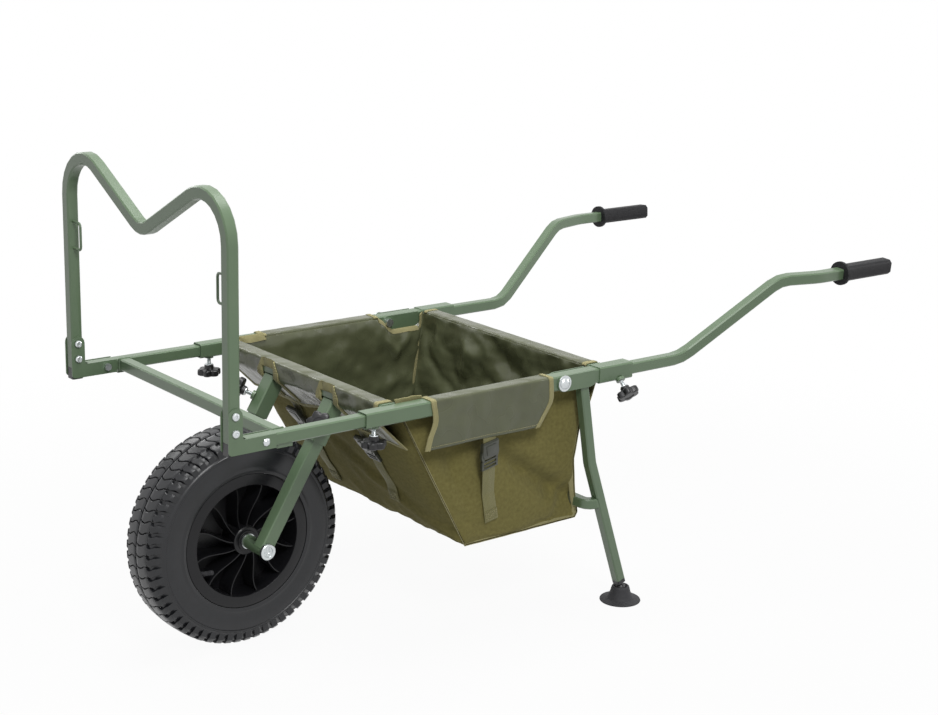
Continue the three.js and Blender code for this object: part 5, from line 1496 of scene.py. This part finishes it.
            # The sloping front panel is drawn taut by its straps.
            fold *= 1 - 0.7 * max(0.0, min(1.0, -normal.x * 2))
            place = (p - wheel) / MM
            fold += sum(crease(place, *line) for line in CREASES)
            moved = p + normal * fold * depth * MM
            # The side walls stay clear of the legs, which swing past them.
            beyond = abs(moved.y) / MM - WALL_PLANE
            if beyond > 0:
                half = WALL_PLANE + WALL_ROOM * math.tanh(beyond / WALL_EASE)
                moved.y = math.copysign(half, moved.y) * MM
            vertex.co = moved
        mesh.update()

    def bind_seams(self):
        """Piping on the tub's outer seams, and tape folded over the seams inside."""
        places = self.places
        pipes, bound = [], []
        ring = [(1.5 * math.cos(a), 1.5 * math.sin(a)) for a in np.linspace(0, 2 * math.pi, 9)[:-1]]
        centre = at(400, 0, 330)
        for column in (0, -1):
            chain = [row[column] for row in self.belt]
            line = [places[n] + (places[n] - centre).normalized() * 0.6 * MM for n in chain]
            pipes.append(swept("piping", line, ring, (0, 1, 0)))
            inside = []
            for n in chain:
                inward = centre - places[n]
                inward.y *= 0.3
                inward.normalize()
                sideways = Vector((0, 1 if places[n].y < 0 else -1, 0))
                inside.append((places[n] + inward * 9.5 * MM, -inward, sideways))
            bound.append(inside)
        linked("bag_piping", merged("bag_piping", pipes), "frame", "khaki_cloth", finish("piping"))
        tape_over("bag_inner_seams", bound, 0.012)

    def edge_chain(self, edge, inner):
        """A chain for tape_over along an edge, from the numbers of its corners and of those beside them."""
        return [(self.places[a], (self.places[b] - self.places[a]).normalized(), self.normals[a])
                for a, b in zip(edge, inner)]

    def end_chains(self, grid):
        """Chains along both ends of a flap."""
        return [self.edge_chain([row[rim] for row in grid], [row[near] for row in grid])
                for rim, near in ((0, 1), (-1, -2))]

    def bind_edges(self, trim):
        """Tape on the free edges, and rows of stitches along the flaps' hems and bindings."""
        places, normals = self.places, self.normals
        tapes, ruffled, stitches = [], [], []
        start = self.columns.index(FLAP_REAR)
        stop = self.columns.index(FLAP_FRONT)
        for side in (-1, 1):
            grid = self.flaps[side]
            rim, below = self.sides[side][0], self.sides[side][1]
            tapes += self.end_chains(grid)
            tapes.append(self.edge_chain(rim[start:], below[start:]))
            # The free edge beside the rail stands a little proud of it, gathered by its binding.
            ruffled.append([(edge + Vector((0, 0, 0.0065)), inward, normal)
                            for edge, inward, normal in self.edge_chain(rim[:stop + 1], below[:stop + 1])])
            stitches.append([places[n] + normals[n] * -0.9 * MM + Vector((0, 0, 0.006)) for n in grid[-1]])
            for chain in self.end_chains(grid):
                stitches.append([edge + inward * trim.tape_width * 0.8 - normal * 1.5 * MM
                                 for edge, inward, normal in chain])
        for grid in (self.front, self.rear):
            tapes += self.end_chains(grid)
        tapes.append(self.edge_chain(self.front[-1], self.front[-2]))
        tape_over("bag_binding", tapes, trim.tape_width)
        tape_over("bag_window_binding", self.window_chains(), trim.tape_width * 1.5, 1.6, 2.8)
        tape_over("bag_corner_binding", ruffled, trim.tape_width * 1.7, 2.2)
        sewn("bag_stitches", stitches)

    def window_chains(self):
        """Chains round each fork socket's window: up one side, over its top and down the other."""
        front = self.front
        heights = [self.places[row[0]].z for row in front]
        top = next(i for i, height in enumerate(heights) if height < WINDOW_TOP * MM and i > 4)
        bottom = len(front) - 3
        chains = []
        for side in (-1, 1):
            low, high = (min(range(len(self.middle)), key=lambda j: abs(self.middle[j] - edge))
                         for edge in (side * FORK_SPACING - WINDOW_HALF, side * FORK_SPACING + WINDOW_HALF))
            chain = [(front[i][low], Vector((0, -1, 0))) for i in range(bottom, top, -1)]
            chain += [(front[top][j], Vector((0, 0, 1))) for j in range(low, high + 1)]
            chain += [(front[i][high], Vector((0, 1, 0))) for i in range(top + 1, bottom + 1)]
            chains.append([(self.places[n], inward, self.normals[n]) for n, inward in chain])
        return chains


def strap_path(points, step=6.0):
    """A strap's line and its outward normals from (place, normal) corners."""
    line = dense(rounded([p for p, n in points], 9, 4), step)
    normals = []
    for place in line:
        weights = [(1 / ((place - p).length + 0.004) ** 2, n) for p, n in points]
        total = sum(w for w, n in weights)
        normals.append(sum((n * (w / total) for w, n in weights), Vector()))
    return line, normals


def buckle_mesh(name, middle, along, out, length, width, thick):
    """A side-release buckle: housing with a raised panel, two sprung arms, and the plug with its bars."""
    across = along.cross(out).normalized()

    def block(outline, low, high, soft=0.7):
        """A plate between two heights, with its edges rounded."""
        mesh = bpy.data.meshes.new("block")
        shell = bmesh.new()
        for height in (low, high):
            ring = [shell.verts.new(middle + (across * x + along * y + out * height) * MM)
                    for x, y in outline]
            shell.faces.new(ring if height == high else list(reversed(ring)))
        shell.verts.ensure_lookup_table()
        count = len(outline)
        for i in range(count):
            j = (i + 1) % count
            shell.faces.new((shell.verts[i], shell.verts[j], shell.verts[count + j],
                             shell.verts[count + i]))
        bmesh.ops.recalc_face_normals(shell, faces=shell.faces)
        bmesh.ops.bevel(shell, geom=shell.edges[:], offset=soft * MM, segments=2, profile=0.6,
                        affect="EDGES", clamp_overlap=True)
        shell.to_mesh(mesh)
        shell.free()
        return mesh

    w, h, t = width / 2, length / 2, thick / 2
    housing = [(-w * 0.9, h), (-w * 0.9, h * 0.2), (-w * 0.72, -h * 0.1), (-w * 0.5, -h * 0.16),
               (w * 0.5, -h * 0.16), (w * 0.72, -h * 0.1), (w * 0.9, h * 0.2), (w * 0.9, h)]
    panel = [(-w * 0.55, h * 0.82), (-w * 0.42, h * 0.1), (w * 0.42, h * 0.1), (w * 0.55, h * 0.82)]
    pieces = [block(housing, -t * 0.85, t * 0.9), block(panel, t * 0.9 - 0.8, t * 1.12, 0.5)]
    for side in (-1, 1):
        arm = [(side * w * 0.98, h * 0.45), (side * w * 1.02, h * 0.1), (side * w * 0.94, -h * 0.2),
               (side * w * 0.74, -h * 0.38), (side * w * 0.6, -h * 0.38), (side * w * 0.66, -h * 0.1),
               (side * w * 0.74, h * 0.3)]
        pieces.append(block(arm, -t * 0.6, t * 0.62, 0.5))
        rail = [(side * w * 0.92, -h * 0.3), (side * w * 0.92, -h), (side * w * 0.7, -h),
                (side * w * 0.7, -h * 0.3)]
        pieces.append(block(rail, -t * 0.55, t * 0.6, 0.5))
    for low, high in ((-h * 0.42, -h * 0.3), (-h * 0.72, -h * 0.62), (-h, -h * 0.88)):
        bar = [(-w * 0.9, low), (w * 0.9, low), (w * 0.9, high), (-w * 0.9, high)]
        pieces.append(block(bar, -t * 0.5, t * 0.62, 0.4))
    rim = [(-w * 0.86, h * 0.98), (w * 0.86, h * 0.98), (w * 0.86, h * 1.1), (-w * 0.86, h * 1.1)]
    pieces.append(block(rim, -t * 0.5, t * 0.7, 0.4))
    return smoothed(merged(name, pieces), 40)


class TROLLEY_OT_straps(bpy.types.Operator):
    """Makes the webbing straps, their buckles and their box stitches"""
    bl_idname = "trolley.straps"
    bl_label = "Straps"

    def execute(self, context):
        stitches = []
        self.pieces = []
        cloth = merged("settled", [bpy.data.objects[name].data.copy()
                                   for name in ("bag_cloth", "bag_wraps")])
        self.cloth = BVHTree.FromPolygons([v.co for v in cloth.vertices],
                                          [p.vertices for p in cloth.polygons])
        for side in (-1, 1):
            name = "left" if side < 0 else "right"
            stitches += self.side_strap(side, name)
            stitches += self.front_strap(side, name)
            stitches += self.rear_strap(side, name)
        stitching = sewn("strap_stitches", stitches)
        # The bag, its piping and inner seams, the straps, the buckles and the stitches each get a mesh of
        # their own.
        soft = [bpy.data.objects[name] for name in ("bag_cloth", "bag_piping", "bag_inner_seams")]
        for piece in soft + self.pieces + [stitching]:
            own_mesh(piece)
        return {"FINISHED"}

    def box_stitch(self, place, along, across, out, width, height):
        """A sewn rectangle with its diagonals."""
        a, b = across * width / 2 * MM, along * height / 2 * MM
        lift = out * 1.0 * MM
        corners = [place + lift - a - b, place + lift + a - b, place + lift + a + b, place + lift - a + b]
        return [corners + [corners[0]], [corners[0], corners[2]], [corners[1], corners[3]]]

    def clear_of_cloth(self, place, out, lift):
        """The place, moved out along a direction where the settled cloth would cover it."""
        out = out.normalized()
        hit = self.cloth.ray_cast(place + out * 0.05, -out, 0.1)[0]
        if hit is None:
            return place
        return place + out * max(0.0, (hit - place).dot(out) + lift * MM)

    def strap(self, name, corners, hem, buckle_at=None):
        """One strap along its corners, with a folded end sewn down and a buckle over its middle run."""
        line, normals = strap_path(corners)
        line = [place if place.z > (hem + 1) * MM else self.clear_of_cloth(place, out, 2.0)
                for place, out in zip(line, normals)]
        parts = [ribbon(name, line, normals, *WEBBING)]
        # The end is folded under and sewn down, as a second layer.
        end, before = line[-1], line[-5]
        along = (end - before).normalized()
        out = normals[-1].normalized()
        lift = out * 1.3 * MM
        fold = dense([end - along * WEBBING_FOLD * MM + lift, end + lift], 6)
        parts.append(ribbon(name, fold, [out] * len(fold), *WEBBING_END))
        made = linked(name + "_webbing", merged(name, parts), "frame", "webbing", finish("webbing"))
        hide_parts(name)
        self.pieces.append(made)
        across = along.cross(out).normalized()
        middle = end - along * WEBBING_FOLD / 2 * MM + lift * 1.6
        stitches = self.box_stitch(middle, along, across, out, *BOX_STITCH)
        if buckle_at:
            place, run, face = buckle_at
            place = self.clear_of_cloth(place, face, 7.0)
            buckle = buckle_mesh(name, place, run, face, *BUCKLE)
            node = name.replace("strap", "buckle")
            piece = linked(node + "_moulding", buckle, "frame", "black_plastic", finish("buckle"))
            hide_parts(node)
            self.pieces.append(piece)
        return stitches

    def side_strap(self, side, name):
        """From under the side flap's hem in to the wall, and down it."""
        y = Vector((0, side, 0))

        def slanted(out, z):
            """A place on the strap's line, from its distance off the middle plane and its height."""
            return at(SIDE_STRAP_X + SIDE_STRAP_LEAN * (FLAP_HEM - z), side * out, z)

        start, hem, meet, end = [slanted(*corner) for corner in SIDE_STRAP]
        run = (meet - hem).normalized()
        face = Vector((0, -run.z, run.y * side)) * side
        corners = [(start, y), (hem, y), (meet, face), (end, y)]
        buckle_at = (hem + run * BUCKLE_DROP * MM, -run, y)
        return self.strap("strap_side_" + name, corners, FLAP_HEM, buckle_at)

    def front_strap(self, side, name):
        """From under the front flap's hem back to the sloping wall, and down it. The far one is longer."""
        y = side * FRONT_STRAP_Y
        under = Vector((-0.7, 0, -0.7))
        wall = Vector((-(BAG_TOP - BAG_BOTTOM), 0, -(BAG_TOE - BAG_FRONT))).normalized()
        start, hem = [at(x, y, z) for x, z in FRONT_STRAP]
        meet, end = [at(bag_front(z) - STRAP_LIFT, y, z) for z in FRONT_STRAP_HEIGHTS[side]]
        run = (meet - hem).normalized()
        face = Vector((run.z, 0, -run.x)).normalized()
        corners = [(start, under), (hem, face), (meet, wall), (end, wall)]
        buckle_at = (hem + run * BUCKLE_DROP * MM, -run, face)
        return self.strap("strap_front_" + name, corners, 398, buckle_at)

    def rear_strap(self, side, name):
        """A short strap from under the rear flap in to the rear wall."""
        y = side * REAR_STRAP_Y
        out = Vector((1, 0, 0))
        places = [at(x, y, z) for x, z in REAR_STRAP]
        places += [at(bag_rear(z) + STRAP_LIFT, y, z) for z in REAR_STRAP_HEIGHTS]
        return self.strap("strap_rear_" + name, [(place, out) for place in places], FLAP_HEM)


def plain_view(tree):
    """1 where the camera, a gloss or a clear thing sees the backdrop, and 0 where it lights the trolley."""
    ray = add(tree, "ShaderNodeLightPath")
    seen = add(tree, "ShaderNodeMath", {"operation": "MAXIMUM"}, i0=ray.outputs["Is Camera Ray"],
               i1=ray.outputs["Is Glossy Ray"])
    return add(tree, "ShaderNodeMath", {"operation": "MAXIMUM"}, i0=seen.outputs[0],
               i1=ray.outputs["Is Transmission Ray"]).outputs[0]


class TROLLEY_OT_stage(bpy.types.Operator):
    """Sets the pale floor, the soft lamps, the world and the camera"""
    bl_idname = "trolley.stage"
    bl_label = "Stage"

    def execute(self, context):
        scene = context.scene
        scene.view_settings.view_transform = "Standard"
        self.floor()
        self.world(scene)
        self.lamp("overhead softbox", (-0.3, 0.0, 3.2), (0.0, 0.0, 0.3), 1.6, 74)
        self.lamp("front softbox", (-1.3, -2.7, 2.9), (0.0, 0.0, 0.35), 0.9, 74)
        self.lamp("right softbox", (3.2, -1.6, 1.5), (0.1, 0.0, 0.4), 1.0, 22)
        self.lamp("rear softbox", (-0.4, 3.2, 2.2), (0.0, 0.0, 0.4), 1.2, 22)
        self.camera(scene)
        return {"FINISHED"}

    def floor(self):
        """A matt floor that takes the shadow near the trolley and fades to white around it."""
        places = [(-8, -8, -0.0006), (8, -8, -0.0006), (8, 8, -0.0006), (-8, 8, -0.0006)]
        mesh = bpy.data.meshes.new("studio_floor")
        mesh.from_pydata(places, [], [(0, 1, 2, 3)])
        made, tree, place = material("Studio floor, white")
        distance = add(tree, "ShaderNodeVectorMath", {"operation": "LENGTH"}, i0=place.outputs["Object"])
        fade = add(tree, "ShaderNodeMapRange", {"interpolation_type": "SMOOTHSTEP"},
                   Value=distance.outputs["Value"], From_Min=0.6, From_Max=2.0, To_Min=0.95)
        share = add(tree, "ShaderNodeMath", {"operation": "MULTIPLY"}, i0=fade.outputs[0],
                    i1=plain_view(tree))
        matt = add(tree, "ShaderNodeBsdfDiffuse", Color=(0.55, 0.55, 0.55, 1.0))
        white = add(tree, "ShaderNodeEmission", Color=(1.0, 1.0, 1.0, 1.0), Strength=1.0)
        mix = add(tree, "ShaderNodeMixShader", i0=share.outputs[0], i1=matt.outputs[0], i2=white.outputs[0])
        add(tree, "ShaderNodeOutputMaterial", Surface=mix.outputs[0])
        placed("studio_floor", mesh, made)

    def world(self, scene):
        """A dim even sky that is seen as white."""
        world = bpy.data.worlds.new("Studio")
        scene.world = world
        world.use_nodes = True
        tree = world.node_tree
        tree.nodes.clear()
        dim = add(tree, "ShaderNodeBackground", Color=(1.0, 1.0, 1.0, 1.0), Strength=0.15)
        white = add(tree, "ShaderNodeBackground", Color=(1.0, 1.0, 1.0, 1.0), Strength=1.0)
        mix = add(tree, "ShaderNodeMixShader", i0=plain_view(tree), i1=dim.outputs[0], i2=white.outputs[0])
        add(tree, "ShaderNodeOutputWorld", Surface=mix.outputs[0])

    def lamp(self, name, place, target, size, power):
        """A square lamp of a size in metres and a power in watts, turned to a target."""
        data = bpy.data.lights.new(name, "AREA")
        data.shape = "SQUARE"
        data.size = size
        data.energy = power
        made = bpy.data.objects.new(name, data)
        made.location = place
        made.rotation_euler = (Vector(target) - Vector(place)).to_track_quat("-Z", "Y").to_euler()
        bpy.context.scene.collection.objects.link(made)

    def camera(self, scene):
        """The camera of the photograph, from its place, heading, dip and roll."""
        data = bpy.data.cameras.new("Camera")
        data.lens = 68.556
        data.sensor_width = 36.0
        made = bpy.data.objects.new("Camera", data)
        azimuth, dip, roll = math.radians(38.79), math.radians(14.97), math.radians(1.53)
        ahead = Vector((math.sin(azimuth) * math.cos(dip), math.cos(azimuth) * math.cos(dip),
                        -math.sin(dip)))
        right = Vector((math.cos(azimuth), -math.sin(azimuth), 0))
        up = right.cross(ahead)
        across = right * math.cos(roll) + up * math.sin(roll)
        lift = up * math.cos(roll) - right * math.sin(roll)
        turn = Matrix((across, lift, -ahead)).transposed().to_4x4()
        made.matrix_world = Matrix.Translation((-2.2013, -2.6956, 1.3860)) @ turn
        scene.collection.objects.link(made)
        scene.camera = made


class TROLLEY_PT_panel(bpy.types.Panel):
    """Lists the steps that finish the trolley"""
    bl_idname = "TROLLEY_PT_panel"
    bl_label = "Fishing trolley"
    bl_space_type = "VIEW_3D"
    bl_region_type = "UI"
    bl_category = "Trolley"

    def draw(self, context):
        for group in ("trolley_finish", "trolley_wheel", "trolley_bag", "trolley_trim"):
            holder = getattr(context.scene, group)
            for name in holder.__annotations__:
                self.layout.prop(holder, name)
        for step in STEPS:
            self.layout.operator(step.bl_idname)


GROUPS = (TROLLEY_PG_finish, TROLLEY_PG_wheel, TROLLEY_PG_bag, TROLLEY_PG_trim)
STEPS = (TROLLEY_OT_metalwork, TROLLEY_OT_welds, TROLLEY_OT_wheel, TROLLEY_OT_knobs, TROLLEY_OT_grips,
         TROLLEY_OT_feet, TROLLEY_OT_bag, TROLLEY_OT_straps, TROLLEY_OT_stage)


def register():
    for entry in GROUPS + STEPS + (TROLLEY_PT_panel,):
        bpy.utils.register_class(entry)
    for group in GROUPS:
        name = group.__name__.replace("TROLLEY_PG_", "trolley_")
        setattr(bpy.types.Scene, name, bpy.props.PointerProperty(type=group))


def unregister():
    for group in GROUPS:
        delattr(bpy.types.Scene, group.__name__.replace("TROLLEY_PG_", "trolley_"))
    for entry in reversed(GROUPS + STEPS + (TROLLEY_PT_panel,)):
        bpy.utils.unregister_class(entry)


def main():
    register()
    for step in STEPS:
        group, name = step.bl_idname.split(".")
        getattr(getattr(bpy.ops, group), name)()


if __name__ == "__main__":
    main()
